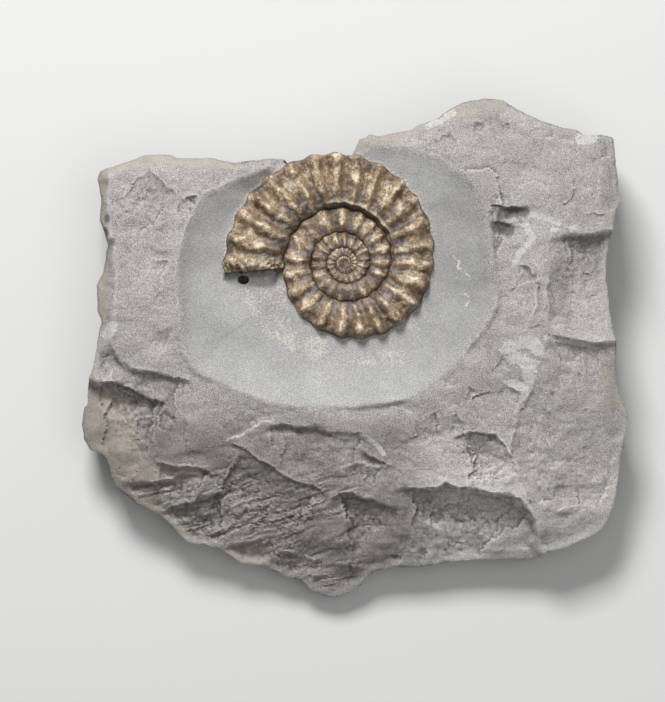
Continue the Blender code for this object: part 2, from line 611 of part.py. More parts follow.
def make_matrix(material):
    """The block of rock, with its bowl, its recess for the shell, and its broken faces."""
    rock = Rock()
    chance = random.Random(SEED)
    net = Net()
    ring = net.add_line(rock.edge + rock.under, closed=True)
    plug = plug_top(rock)
    recess = []
    for i, (x, y, _) in enumerate(rock.recess):
        recess.append((x, y, plug.get(i, rock.height(x, y))))
    net.add_line(recess)
    net.add_line(rock.recess_foot)
    lines = [BOWL_RIM, PLUG_FOOT] + list(ROCK_LINES.values())
    for line in lines:
        net.add_line(line)
    rim = []
    deep = []
    for i in range(HOLE_SIDES):
        angle = 2 * math.pi * i / HOLE_SIDES
        x = HOLE_RADIUS * math.cos(angle)
        y = HOLE_RADIUS * math.sin(angle)
        height = HOLE_RIM_HEIGHT - HOLE_RIM_TILT * (y < 0)
        rim.append((HOLE_CENTRE[0] + x, HOLE_CENTRE[1] + y, height))
        low = HOLE_RIM_HEIGHT - HOLE_DEPTH
        deep.append((HOLE_CENTRE[0] + x * HOLE_TAPER, HOLE_CENTRE[1] + y * HOLE_TAPER, low))
    net.add_line(rim, closed=True)
    net.add_line(deep, closed=True)
    for drop, run, line in SMALL_LEDGES:
        lip = [(x, y, rock.height(x, y) + LIP_SHARE * drop) for x, y in line]
        foot = []
        for i, (x, y) in enumerate(line):
            before = Vector(line[max(i - 1, 0)])
            after = Vector(line[min(i + 1, len(line) - 1)])
            way = (after - before).normalized()
            share = END_SHARE if i in (0, len(line) - 1) else FOOT_SHARE
            place = (x + way.y * run, y - way.x * run)
            foot.append((*place, rock.height(*place) - share * drop))
        net.add_line(lip)
        net.add_line(foot)
        lines += [lip, foot]
    lines += [rock.edge, rock.under, recess, rim + rim[:1]]
    add_grid(net, rock, lines, chance)
    faces = net.triangles(ring)
    points = list(net.points)
    above = ring
    edge = [points[i] for i in ring]
    for level, inset, unevenness in SIDE_RINGS + [(0.0, BASE_INSET, BASE_UNEVENNESS)]:
        below = list(range(len(points), len(points) + len(ring)))
        for x, y, z in edge:
            wave = noise.noise(Vector((x, y, z * level)) * SIDE_WAVE)
            scatter = chance.uniform(-SIDE_SCATTER, SIDE_SCATTER)
            inward = max(inset + unevenness * (wave + scatter), SIDE_LEAST_INSET)
            keep = 1 - inward / math.hypot(x, y)
            points.append((x * keep, y * keep, z * level))
        faces += band(above, below)
        above = below
    faces += flat_fill(points, above)
    return new_piece("matrix", points, faces, material)


def add_grid(net, rock, lines, chance):
    """Fill the space between the lines with points on a loose grid, rougher where the rock is broken."""
    outline = rock.edge + rock.under
    low_x = min(point[0] for point in outline)
    low_y = min(point[1] for point in outline)
    row_step = GRID_STEP * ROW_TO_GRID_STEP
    rows = int((max(point[1] for point in outline) - low_y) / row_step) + 1
    columns = int((max(point[0] for point in outline) - low_x) / GRID_STEP) + 1
    bowl = [point[:2] for point in BOWL_RIM]
    for row in range(rows):
        for column in range(columns):
            x = low_x + (column + 0.5 * (row % 2)) * GRID_STEP
            y = low_y + row * row_step
            x += chance.uniform(-GRID_SCATTER, GRID_SCATTER) * GRID_STEP
            y += chance.uniform(-GRID_SCATTER, GRID_SCATTER) * GRID_STEP
            bump = chance.uniform(-1.0, 1.0)
            if not inside(x, y, outline) or inside(x, y, rock.recess_ring):
                continue
            if min(distance_to_line(x, y, line)[0] for line in lines) < CLEAR_OF_LINES:
                continue
            if inside(x, y, bowl):
                rough = BOWL_ROUGHNESS
            else:
                height = rock.height(x, y)
                rough = BROKEN_ROUGHNESS if height < BROKEN_BELOW else ROCK_ROUGHNESS
            net.add_point((x, y, rock.height(x, y) + bump * rough))


clear_scene()
make_matrix(finish_material("grey mudstone", (0.36, 0.34, 0.31), 0.9))
make_ammonite(finish_material("brown calcite", (0.38, 0.29, 0.18), 0.45))
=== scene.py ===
import math

import bmesh
import bpy
import numpy as np
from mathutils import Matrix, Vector, noise
from mathutils.bvhtree import BVHTree
from mathutils.geometry import delaunay_2d_cdt
from mathutils.kdtree import KDTree


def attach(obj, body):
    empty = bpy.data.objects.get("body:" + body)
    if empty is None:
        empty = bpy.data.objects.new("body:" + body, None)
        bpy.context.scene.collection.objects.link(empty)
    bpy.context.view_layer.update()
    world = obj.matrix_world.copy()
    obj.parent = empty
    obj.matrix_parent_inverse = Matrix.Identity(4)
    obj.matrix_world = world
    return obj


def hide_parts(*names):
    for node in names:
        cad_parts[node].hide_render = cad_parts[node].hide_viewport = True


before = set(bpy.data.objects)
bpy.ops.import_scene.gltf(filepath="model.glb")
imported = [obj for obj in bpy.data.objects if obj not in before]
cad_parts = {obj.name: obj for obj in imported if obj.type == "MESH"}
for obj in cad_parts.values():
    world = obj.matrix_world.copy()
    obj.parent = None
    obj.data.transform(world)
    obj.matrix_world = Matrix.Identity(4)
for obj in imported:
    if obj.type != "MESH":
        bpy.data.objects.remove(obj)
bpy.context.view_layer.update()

# The shell: a flat coil of brown and golden calcite, whose ribs each end in a knob at the outer shoulder.
# It grew as one piece, was filled and replaced by mineral, and is laid bare from above and waxed.
# Lengths are in millimetres here, and degrees back are counted along the coil from its open end.
MM = 0.001
COIL_CENTRE = (-3.8, 33.4)
OPEN_END_ANGLE = 185.0
MID_HEIGHT = 36.0
RADIUS_STEP = 45.0
COIL_RADIUS = [
    46.6, 44.6, 42.2, 37.8, 34.3, 32.2, 29.0, 26.2,
    23.7, 22.7, 21.5, 19.4, 18.0, 15.8, 14.9, 14.0,
    13.1, 12.9, 12.0, 10.6, 9.8, 8.8, 7.9, 7.3,
    7.0, 6.6, 6.0, 5.3, 4.8, 4.4, 4.0, 3.7, 3.4,
]
SHRINK_PER_TURN = 0.5
TURNS = 4.5
RIB_CREST = [
    5, 17, 29, 41.5, 52.5, 66, 78.5, 90, 102, 115.5, 130, 142.5, 157.5, 172.5, 186, 200.5, 214, 230.5,
    246, 262.5, 278.5, 297, 315, 334, 353.5, 371.5, 392, 409, 430.5, 453, 473, 489, 508, 524.5, 544,
    563, 583,
]
INNER_RIB_STEP = 19.4
CONTACT_HEIGHT = [37.8, 39.2, 41.4, 42.0, 41.6, 39.8, 38.0, 37.0, 36.2, 35.8, 36.0, 36.8]
COVERED_FROM = 340.0
THICKNESS_TO_WIDTH = 0.352
INNER_WHORLS_THICKER = 0.15
SEAM_RISE = 0.3
SCALLOP = 0.05
SEAM_SCALLOP = 0.06
SHELL_WALL = [41.0, 38.0, 33.0]
SHELL_BOTTOM = 26.4
SHELL_SOFT_TOP = 45.5
SHELL_TOP_SQUASH = 0.3
BOTTOM_TAPER = 0.88


def smooth_step(low, high, value):
    """0 below low and 1 above high, with a soft passage between."""
    t = np.clip((np.asarray(value, float) - low) / (high - low), 0.0, 1.0)
    return t * t * (3 - 2 * t)


def coil_radius(back):
    """Radius of the coil's line so many degrees back, on a smooth curve through the measured radii."""
    back = np.asarray(back, float)
    table = np.array([COIL_RADIUS[0] * 2 - COIL_RADIUS[1]] + COIL_RADIUS + [COIL_RADIUS[-1]])
    last = len(COIL_RADIUS) - 1
    place = np.clip(back / RADIUS_STEP, 0.0, last - 1e-6)
    whole = place.astype(int)
    t = place - whole
    a, b, c, d = (table[whole + i] for i in range(4))
    curve = b + 0.5 * t * (c - a + t * (2 * a - 5 * b + 4 * c - d + t * (3 * (b - c) + d - a)))
    beyond = np.maximum(back / RADIUS_STEP - last, 0.0) * RADIUS_STEP / 360.0
    return curve * SHRINK_PER_TURN ** beyond


def rib_number(back):
    """The count of ribs so many degrees back, a whole number on each crest."""
    back = np.asarray(back, float)
    last = len(RIB_CREST) - 1
    within = np.interp(back, RIB_CREST, np.arange(last + 1.0))
    before = (back - RIB_CREST[0]) / (RIB_CREST[1] - RIB_CREST[0])
    after = last + (back - RIB_CREST[-1]) / INNER_RIB_STEP
    return np.where(back < RIB_CREST[0], before, np.where(back > RIB_CREST[-1], after, within))


def outer_line(back):
    """Radius of a whorl's outer line, scalloped by the ribs that end there."""
    back = np.asarray(back, float)
    width = coil_radius(back) - coil_radius(back + 360.0)
    share = np.where(back < 360.0, SCALLOP, SEAM_SCALLOP)
    return coil_radius(back) + share * width * np.cos(2 * np.pi * rib_number(back)) / 2


def half_thickness(back):
    """Half the height of a whorl."""
    back = np.asarray(back, float)
    width = coil_radius(back) - coil_radius(back + 360.0)
    return THICKNESS_TO_WIDTH * width * (1.0 + INNER_WHORLS_THICKER * np.minimum(back / 720.0, 1.0))


def seam_height(back):
    """Height of the seam in which a whorl's outer line lies against the next whorl out."""
    return MID_HEIGHT + SEAM_RISE * half_thickness(back)


def contact_height(angle):
    """Height at which the rock meets the shell's outside, by angle round the coil."""
    angles = np.arange(len(CONTACT_HEIGHT) + 1) * 360.0 / len(CONTACT_HEIGHT)
    return np.interp(np.asarray(angle) % 360.0, angles, CONTACT_HEIGHT + CONTACT_HEIGHT[:1])


def edge_height(back):
    """Height of a whorl's outer line: where the rock meets it on the last whorl, and the seam further in."""
    back = np.asarray(back, float)
    covered = smooth_step(COVERED_FROM, 360.0, back)
    return contact_height(OPEN_END_ANGLE - back) * (1 - covered) + seam_height(back) * covered


class Wire:
    """An output of a node. Sums and products of wires and numbers add the Math nodes that work them out."""

    def __init__(self, tree, socket):
        self.tree = tree
        self.socket = socket

    def math(self, operation, *values):
        """This wire's value put through one of the Math node's operations."""
        return self.tree.node("ShaderNodeMath", {"operation": operation}, dict(enumerate([self, *values])))

    def __add__(self, other):
        return self.math("ADD", other)

    __radd__ = __add__

    def __sub__(self, other):
        return self.math("SUBTRACT", other)

    def __rsub__(self, other):
        return self.tree.node("ShaderNodeMath", {"operation": "SUBTRACT"}, {0: other, 1: self})

    def __mul__(self, other):
        return self.math("MULTIPLY", other)

    __rmul__ = __mul__

    def __truediv__(self, other):
        return self.math("DIVIDE", other)

    def __rtruediv__(self, other):
        return self.tree.node("ShaderNodeMath", {"operation": "DIVIDE"}, {0: other, 1: self})

    def __pow__(self, other):
        return self.math("POWER", other)

    def step(self, low, high):
        """0 below low and 1 above high, with a soft passage between."""
        settings = {"interpolation_type": "SMOOTHSTEP"}
        return self.tree.node("ShaderNodeMapRange", settings, {0: self, 1: low, 2: high, 3: 0.0, 4: 1.0})


class Tree:
    """A node tree in the making."""

    def __init__(self, nodes_and_links):
        self.inner = nodes_and_links

    def node(self, kind, settings, inputs, output=0):
        """Add a node: first its settings, then the values or wires of its sockets; gives one output."""
        node = self.inner.nodes.new(kind)
        for name, value in settings.items():
            if name == "stops":
                while len(node.color_ramp.elements) < len(value):
                    node.color_ramp.elements.new(0.5)
                for element, (place, colour) in zip(node.color_ramp.elements, value):
                    element.position = place
                    element.color = (*colour, 1.0)
            else:
                setattr(node, name, value)
        for key, value in inputs.items():
            if isinstance(value, Wire):
                self.inner.links.new(value.socket, node.inputs[key])
            else:
                node.inputs[key].default_value = value
        return Wire(self, node.outputs[output])

    def mix(self, share, first, second, blend="MIX"):
        """A colour between two others."""
        settings = {"data_type": "RGBA", "blend_type": blend}
        first = first if isinstance(first, Wire) else (*first, 1.0)
        second = second if isinstance(second, Wire) else (*second, 1.0)
        return self.node("ShaderNodeMix", settings, {0: share, 6: first, 7: second}, 2)

    def noise(self, place, size, detail=3.0, roughness=0.55, distortion=0.0):
        """Smooth chance between 0 and 1, with lumps of about that size."""
        inputs = {"Vector": place, "Scale": 1.0 / size, "Detail": detail, "Roughness": roughness,
                  "Distortion": distortion}
        return self.node("ShaderNodeTexNoise", {}, inputs)

    def stretch(self, place, scale):
        """A place with each of its directions scaled by its own number."""
        return self.node("ShaderNodeVectorMath", {"operation": "MULTIPLY"}, {0: place, 1: scale})

    def ramp(self, share, stops):
        """A colour read from a row of stops."""
        return self.node("ShaderNodeValToRGB", {"stops": stops}, {0: share})

    def carried(self, name):
        """A number that the mesh carries at each point, for a material."""
        settings = {"attribute_type": "GEOMETRY", "attribute_name": name}
        return self.node("ShaderNodeAttribute", settings, {}, 2)

    def bump(self, height, reach, strength, under=None):
        """A surface normal tipped by a height in millimetres."""
        inputs = {"Height": height, "Distance": reach * MM, "Strength": strength}
        if under:
            inputs["Normal"] = under
        return self.node("ShaderNodeBump", {}, inputs)


def new_material(name, specular):
    """A material with a single shader, its tree, that shader, and the place on the piece in millimetres."""
    material = bpy.data.materials.new(name)
    material.use_nodes = True
    tree = Tree(material.node_tree)
    shader = material.node_tree.nodes["Principled BSDF"]
    shader.inputs["Specular IOR Level"].default_value = specular
    place = tree.node("ShaderNodeTexCoord", {}, {}, 3)
    return material, tree, shader, tree.stretch(place, (1 / MM, 1 / MM, 1 / MM))


def calcite_material():
    """Mottled calcite: golden and cream on the ribs, brown and dark violet grey in the hollows, waxed, with
    painted highlight on the crests and towards the top, and painted shade on one flank of each rib and in the
    gap under the broken lip.
    """
    material, tree, shader, spot = new_material("waxed calcite", 0.5)
    wave = tree.carried("wave")
    across = tree.carried("across")
    crust = tree.carried("crust")
    patches = tree.noise(spot, 5.0, 3.0, 0.55)
    mottle = tree.noise(spot, 2.0, 4.0, 0.65, 0.5)
    grains = tree.noise(spot, 0.5, 2.0, 0.65)
    growth = tree.node("ShaderNodeCombineXYZ", {}, {0: tree.carried("rib") * 5.0, 1: across * 1.6, 2: 0.0})
    growth = tree.noise(growth, 1.0, 2.0, 0.6)
    # Painted light: the lightness rises on each rib's crest, partly the calcite's cream and partly a painted
    # highlight. It also rises towards the top of the view, the side the light comes from, as painted light.
    towards_top = tree.node("ShaderNodeSeparateXYZ", {}, {0: spot}, 1)
    lightness = (0.12 + wave * 0.26 + (patches - 0.5) * 1.7 + (mottle - 0.5) * 1.3 + (grains - 0.5) * 0.9
                 + towards_top.step(5.0, 40.0) * 0.08
                 + (growth - 0.5) * 0.4 + across.step(0.02, 0.25) * 0.14 - across.step(0.6, 1.0) * 0.2
                 - tree.carried("back").step(360.0, 700.0) * 0.14)
    colour = tree.ramp(lightness, [
        (0.0, (0.045, 0.033, 0.027)), (0.25, (0.115, 0.08, 0.052)), (0.46, (0.225, 0.155, 0.09)),
        (0.64, (0.38, 0.298, 0.195)), (0.9, (0.64, 0.57, 0.45)),
    ])
    grey = (tree.noise(spot, 5.0, 2.0, 0.55) - 0.5) * 2.4 + (1 - wave) * across.step(0.3, 0.85) * 0.75
    grey = grey + (1 - wave) * 0.15 + across.step(0.4, 1.0) * 0.2
    grey_tone = tree.mix(mottle.step(0.35, 0.65), (0.05, 0.043, 0.045), (0.2, 0.175, 0.165))
    colour = tree.mix(grey.step(0.4, 0.8) * 0.8, colour, grey_tone)
    # Painted shade: one flank of each rib is painted brown, where light from the top leaves it in shade.
    shaded_flank = tree.carried("flank").step(0.35, 0.9) * tree.noise(spot, 4.0, 2.0).step(0.42, 0.6)
    shaded_flank = shaded_flank * across.step(0.05, 0.2)
    colour = tree.mix(shaded_flank * 0.7, colour, (0.17, 0.1, 0.05))
    veins = (tree.noise(spot, 3.2, 4.0, 0.7, 0.6) - 0.5).math("ABSOLUTE")
    colour = tree.mix((1 - veins.step(0.0, 0.028)) * 0.55, colour, (0.085, 0.055, 0.035))
    crust_tone = tree.mix((mottle + grains * 0.4).step(0.6, 0.85), (0.13, 0.09, 0.055), (0.5, 0.42, 0.285))
    colour = tree.mix(crust * 0.7, colour, crust_tone)
    colour = tree.mix(tree.carried("lip") * 0.8, colour, (0.38, 0.31, 0.2))
    # Painted shade: the gap under the broken lip is painted dark, as the shade beneath the lip.
    colour = tree.mix(tree.carried("gap") * 0.7, colour, (0.06, 0.048, 0.038))
    seam = across.step(0.95, 1.0) * tree.noise(spot, 3.0, 2.0).step(0.4, 0.6)
    colour = tree.mix(seam * 0.6, colour, (0.05, 0.04, 0.032))
    tree.inner.links.new(colour.socket, shader.inputs["Base Color"])
    rough = 0.36 + 0.3 * mottle + crust * 0.25
    tree.inner.links.new(rough.socket, shader.inputs["Roughness"])
    normal = tree.bump(growth * 0.6 + mottle * 0.8, 0.5, 0.6)
    normal = tree.bump(grains, 0.2, 0.6, normal)
    tree.inner.links.new(normal.socket, shader.inputs["Normal"])
    return material


COIL_SIZES = {
    "Rib height": 0.112, "Knob height": 0.112, "Knob place": 0.19, "Knob width": 0.09, "Crest place": 0.45,
    "Flank roundness": 2.2, "Lump height": 0.07, "Pock depth": 0.16, "Lip height": 0.06, "Gap depth": 0.045,
    "Merge within": 0.000002, "Rows": 52,
}


def coil_tree():
    """The coil as a rule: a profile swept along the coil's line and shaped by what each point carries."""
    group = bpy.data.node_groups.new("ribbed coil", "GeometryNodeTree")
    group.interface.new_socket("Line", in_out="INPUT", socket_type="NodeSocketGeometry")
    for name, value in COIL_SIZES.items():
        kind = "NodeSocketInt" if isinstance(value, int) else "NodeSocketFloat"
        group.interface.new_socket(name, in_out="INPUT", socket_type=kind)
    group.interface.new_socket("Finish", in_out="INPUT", socket_type="NodeSocketMaterial")
    group.interface.new_socket("Shell", in_out="OUTPUT", socket_type="NodeSocketGeometry")
    tree = Tree(group)
    given = group.nodes.new("NodeGroupInput")

    def size(name):
        return Wire(tree, given.outputs[name])

    def carried(name):
        return tree.node("GeometryNodeInputNamedAttribute", {"data_type": "FLOAT"}, {"Name": name})

    def store(mesh, name, value):
        settings = {"data_type": "FLOAT", "domain": "POINT"}
        inputs = {"Geometry": mesh, "Name": name, "Value": value}
        return tree.node("GeometryNodeStoreNamedAttribute", settings, inputs)

    line = tree.node("GeometryNodeMeshToCurve", {}, {"Mesh": size("Line")})
    profile = tree.node("GeometryNodeCurvePrimitiveLine", {}, {"End": (0.0, 0.0, MM)})
    profile = tree.node("GeometryNodeResampleCurve", {}, {"Curve": profile, "Count": size("Rows")})
    along = tree.node("GeometryNodeSplineParameter", {}, {})
    profile = store(profile, "across", 0.5 - 0.5 * (along * math.pi).math("COSINE"))
    mesh = tree.node("GeometryNodeCurveToMesh", {}, {"Curve": line, "Profile Curve": profile})

    across = carried("across")
    crest = size("Crest place")
    outside = across.math("LESS_THAN", crest)
    side = outside * (1 - across / crest) + (1 - outside) * ((across - crest) / (1 - crest))
    side = side.math("MINIMUM", 1.0).math("MAXIMUM", 0.0)
    low = outside * carried("edge") + (1 - outside) * carried("seam")
    bulge = size("Flank roundness")
    rise = (1 - side ** bulge).math("MAXIMUM", 0.0) ** (1 / bulge)
    height = low + (carried("top") - low) * rise
    radius = carried("outer") + (carried("inner") - carried("outer")) * across
    turn = carried("angle")
    x = COIL_CENTRE[0] + radius * turn.math("COSINE")
    y = COIL_CENTRE[1] + radius * turn.math("SINE")
    place = tree.node("ShaderNodeCombineXYZ", {}, {0: x * MM, 1: y * MM, 2: height * MM})
    mesh = tree.node("GeometryNodeSetPosition", {}, {"Geometry": mesh, "Position": place})

    spot = tree.node("GeometryNodeInputPosition", {}, {})
    spot = tree.stretch(spot, (1 / MM, 1 / MM, 1 / MM))
    sway = tree.noise(spot, 8.0, 2.0) - 0.5
    phase = (carried("rib") + sway * 0.5 + (across - 0.3) * 0.1) * (2 * math.pi)
    wave = 0.5 + 0.5 * phase.math("COSINE")
    ridge = ((across / 0.96).math("MINIMUM", 1.0) * math.pi).math("SINE").math("MAXIMUM", 0.0) ** 0.5
    away = (across - size("Knob place")) / size("Knob width")
    knob = (away * away * -1.0).math("EXPONENT")
    back = carried("back")
    strength = 0.45 + 1.1 * tree.noise(spot, 7.0, 1.0) - across.step(0.6, 1.0) * 0.3
    smoother = back.step(520.0, 640.0) * (turn.math("SINE") * -1).step(0.0, 0.7)
    strength = strength * (1 - smoother * 0.6)
    ribs = ridge * size("Rib height") * (wave - 0.5)
    knobs = knob * size("Knob height") * (wave ** 1.5 - 0.35)
    relief = (ribs + knobs) * strength
    lumps = (tree.noise(spot, 2.6, 3.0, 0.6) - 0.5) * size("Lump height")
    crust = 1 - back.step(3.0, 13.0)
    pocks = (tree.noise(spot, 1.2, 2.0, 0.6) - 0.6 + crust * 0.14).math("MAXIMUM", 0.0)
    pocks = pocks * size("Pock depth") * (1 + crust * 2.5)
    broken = back.step(74.0, 84.0) * (1 - back.step(146.0, 156.0))
    lip_place = 0.885 + (tree.noise(spot, 3.0, 2.0) - 0.5) * 0.05
    lip = (across - lip_place) / 0.022
    lip = (lip * lip * -1.0).math("EXPONENT") * broken
    # The gap under the broken lip is cut in here; the finish also paints it dark as painted shade.
    gap = (across - lip_place).step(0.01, 0.03) * broken
    held = (across * 14.0).math("MINIMUM", 1.0) * ((1 - across) * 14.0).math("MINIMUM", 1.0)
    lift = relief + lumps - pocks + lip * size("Lip height") - gap * size("Gap depth")
    lift = lift * carried("width") * held
    normal = tree.node("GeometryNodeInputNormal", {}, {})
    upward = tree.node("ShaderNodeSeparateXYZ", {}, {0: normal}, 2).math("SIGN")
    inputs = {0: normal, "Scale": lift * upward * MM}
    offset = tree.node("ShaderNodeVectorMath", {"operation": "SCALE"}, inputs)
    # Which side of each rib a point lies on; the finish paints one side brown as painted shade.
    flank = phase.math("SINE")
    for name, value in (("wave", wave), ("flank", flank), ("crust", crust), ("lip", lip), ("gap", gap)):
        mesh = store(mesh, name, value)
    mesh = tree.node("GeometryNodeSetPosition", {}, {"Geometry": mesh, "Offset": offset})
    mesh = tree.node("GeometryNodeMergeByDistance", {}, {"Geometry": mesh, "Distance": size("Merge within")})
    mesh = tree.node("GeometryNodeRealizeInstances", {}, {"Geometry": mesh})
    mesh = tree.node("GeometryNodeSetMaterial", {}, {"Geometry": mesh, "Material": size("Finish")})
    group.links.new(mesh.socket, group.nodes.new("NodeGroupOutput").inputs[0])
    return group


def coil_line():
    """The coil's line as a chain of points, each with the sizes that the whorl has there."""
    back = np.arange(0.0, 360.0 * TURNS + 0.5)
    carried = {
        "outer": outer_line(back),
        "inner": outer_line(back + 360.0),
        "width": coil_radius(back) - coil_radius(back + 360.0),
        "edge": edge_height(back),
        "seam": seam_height(back + 360.0),
        "top": MID_HEIGHT + half_thickness(back),
        "angle": np.radians(OPEN_END_ANGLE - back),
        "rib": rib_number(back),
        "back": back,
    }
    mesh = bpy.data.meshes.new("coil line")
    places = [(i * MM, 0.0, 0.0) for i in range(len(back))]
    mesh.from_pydata(places, [(i, i + 1) for i in range(len(back) - 1)], [])
    for name, values in carried.items():
        attribute = mesh.attributes.new(name, "FLOAT", "POINT")
        attribute.data.foreach_set("value", values.astype(np.float32))
    carrier = bpy.data.objects.new("coil line", mesh)
    bpy.context.scene.collection.objects.link(carrier)
    return carrier


def grown(carrier, group, sizes):
    """The plain mesh that a node tree makes of a carrier, which is removed with its modifier."""
    modifier = carrier.modifiers.new("rule", "NODES")
    modifier.node_group = group
    for item in group.interface.items_tree:
        if item.in_out == "INPUT" and item.name in sizes:
            modifier[item.identifier] = sizes[item.name]
    bpy.context.view_layer.update()
    shown = carrier.evaluated_get(bpy.context.evaluated_depsgraph_get())
    mesh = bpy.data.meshes.new_from_object(shown)
    carrier.modifiers.remove(modifier)
    bpy.data.objects.remove(carrier)
    return mesh


def edge_loops(form):
    """The open edges of a mesh as closed rings of corners."""
    open_edges = {edge for edge in form.edges if len(edge.link_faces) == 1}
    rings = []
    while open_edges:
        edge = min(open_edges, key=lambda e: e.index)
        open_edges.discard(edge)
        ring = [edge.verts[0], edge.verts[1]]
        while True:
            onward = [e for e in ring[-1].link_edges if e in open_edges]
            if not onward:
                break
            open_edges.discard(onward[0])
            ring.append(onward[0].other_vert(ring[-1]))
        if ring[-1] == ring[0]:
            ring.pop()
        rings.append(ring)
    return sorted(rings, key=lambda ring: max(corner.co.x for corner in ring), reverse=True)


def close_shell(mesh):
    """Close the coil: a small dimple in the middle, and a wall and flat bottom in the rock below."""
    form = bmesh.new()
    form.from_mesh(mesh)
    outer, inner = edge_loops(form)[:2]
    shell_edge = [tuple(corner.co / MM) for corner in outer]
    middle = form.verts.new(sum((corner.co for corner in inner), Vector()) / len(inner))
    for i, corner in enumerate(inner):
        form.faces.new((corner, inner[(i + 1) % len(inner)], middle))
    above = outer
    centre = Vector((*COIL_CENTRE, 0.0)) * MM
    for height in SHELL_WALL + [SHELL_BOTTOM]:
        below = []
        for corner, top in zip(above, outer):
            place = top.co.copy()
            place.z = min(height * MM, corner.co.z - 0.2 * MM)
            if height == SHELL_BOTTOM:
                place = centre + (place - centre) * BOTTOM_TAPER
                place.z = height * MM
            below.append(form.verts.new(place))
        for i in range(len(outer)):
            after = (i + 1) % len(outer)
            form.faces.new((above[i], above[after], below[after], below[i]))
        above = below
    rim = [form.edges.get((above[i - 1], above[i])) for i in range(len(above))]
    bmesh.ops.triangle_fill(form, edges=rim, use_beauty=False)
    for corner in form.verts:
        above = corner.co.z - SHELL_SOFT_TOP * MM
        if above > 0.0:
            corner.co.z -= above * SHELL_TOP_SQUASH
    bmesh.ops.recalc_face_normals(form, faces=form.faces)
    form.to_mesh(mesh)
    form.free()
    mesh.shade_smooth()
    return shell_edge


def add_piece(name, mesh, node):
    """Put a finished mesh in the scene as the piece that stands for a node."""
    piece = bpy.data.objects.new(name, mesh)
    bpy.context.scene.collection.objects.link(piece)
    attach(piece, "root")
    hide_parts(node)


shell_mesh = grown(coil_line(), coil_tree(), dict(COIL_SIZES, Finish=calcite_material()))
shell_edge = close_shell(shell_mesh)
add_piece("ribbed_shell", shell_mesh, "ammonite")

# The block of rock: one piece of fine grey mudstone, broken by hand along ledges and shell-like hollows,
# with a shallow bowl ground smooth around the shell. Its outline and broad faces come from the frame.
OUTLINE_STEP = 0.9
SMOOTH_GRID_STEP = 1.0
BROKEN_GRID_STEP = 0.68
GRID_SCATTER = 0.22
SEED = 11
SEAT_GAP = 0.08
SEAT_STEP = 0.45
RECESS_FLOOR = 26.0
RECESS_LEAN = 0.05
PLUG_BELOW_SHELL = 0.5
LAP_ON_SHELL = 0.1
SIDE_ROWS = 30
SIDE_REACH = 14.0
SHELL_SPAN = (-28.5, 3.0)
SIDE_EVENED = 0.3
SHARP_ABOVE = 38
OVER_EDGE = (86.4, 119.5)
OPEN_TOP_HALF_WIDTH = 26.0
OPEN_TOP_ABOVE = 55.0
LOW_EDGE_BELOW = 41.0
CLEAR_OF_LINES = 0.55
BOWL_CURVE = 1.7
WARP = 0.9
BOWL_RIM = [
    (-33, 69.7), (-38, 67.5), (-44, 65.2), (-50, 63), (-57, 60), (-60, 56), (-62, 52), (-64.5, 47),
    (-66.5, 40), (-68, 33), (-67.5, 24), (-67, 15), (-66.4, 6), (-65.5, 0), (-63, -5), (-60, -8.3),
    (-55, -10.5), (-52, -12), (-47, -14.5), (-42, -16.5), (-37, -18.2), (-33, -19.8), (-29, -20.8),
    (-22, -21.6), (-14, -21.3), (-6, -21.4), (0, -21.5), (6, -20.6), (12, -20), (20, -18.5), (24, -16.5),
    (27, -15), (32, -11), (36, -7), (40, -3), (45, 3), (49, 8), (52, 13), (54, 18), (54.3, 22), (54.2, 26),
    (52.8, 30), (52, 36), (51, 45), (50, 50), (48, 58), (45, 63), (41, 67), (37, 70), (32, 73.5),
    (26, 75.3), (16, 77.5), (7, 78.2),
]
HOLE_CENTRE = (-42.7, 26.9)
HOLE_RADIUS = (2.3, 1.8)
HOLE_DEPTH = 4.5
PLUG_FOOT = [(-50.5, 25.6), (-46, 24.2), (-40, 23.6), (-33, 23.8), (-28, 24.8)]
PLUG_RIGHT = -26.5
PLUG_SPAN = (28.5, 32.2)
HIGHEST = 46.15

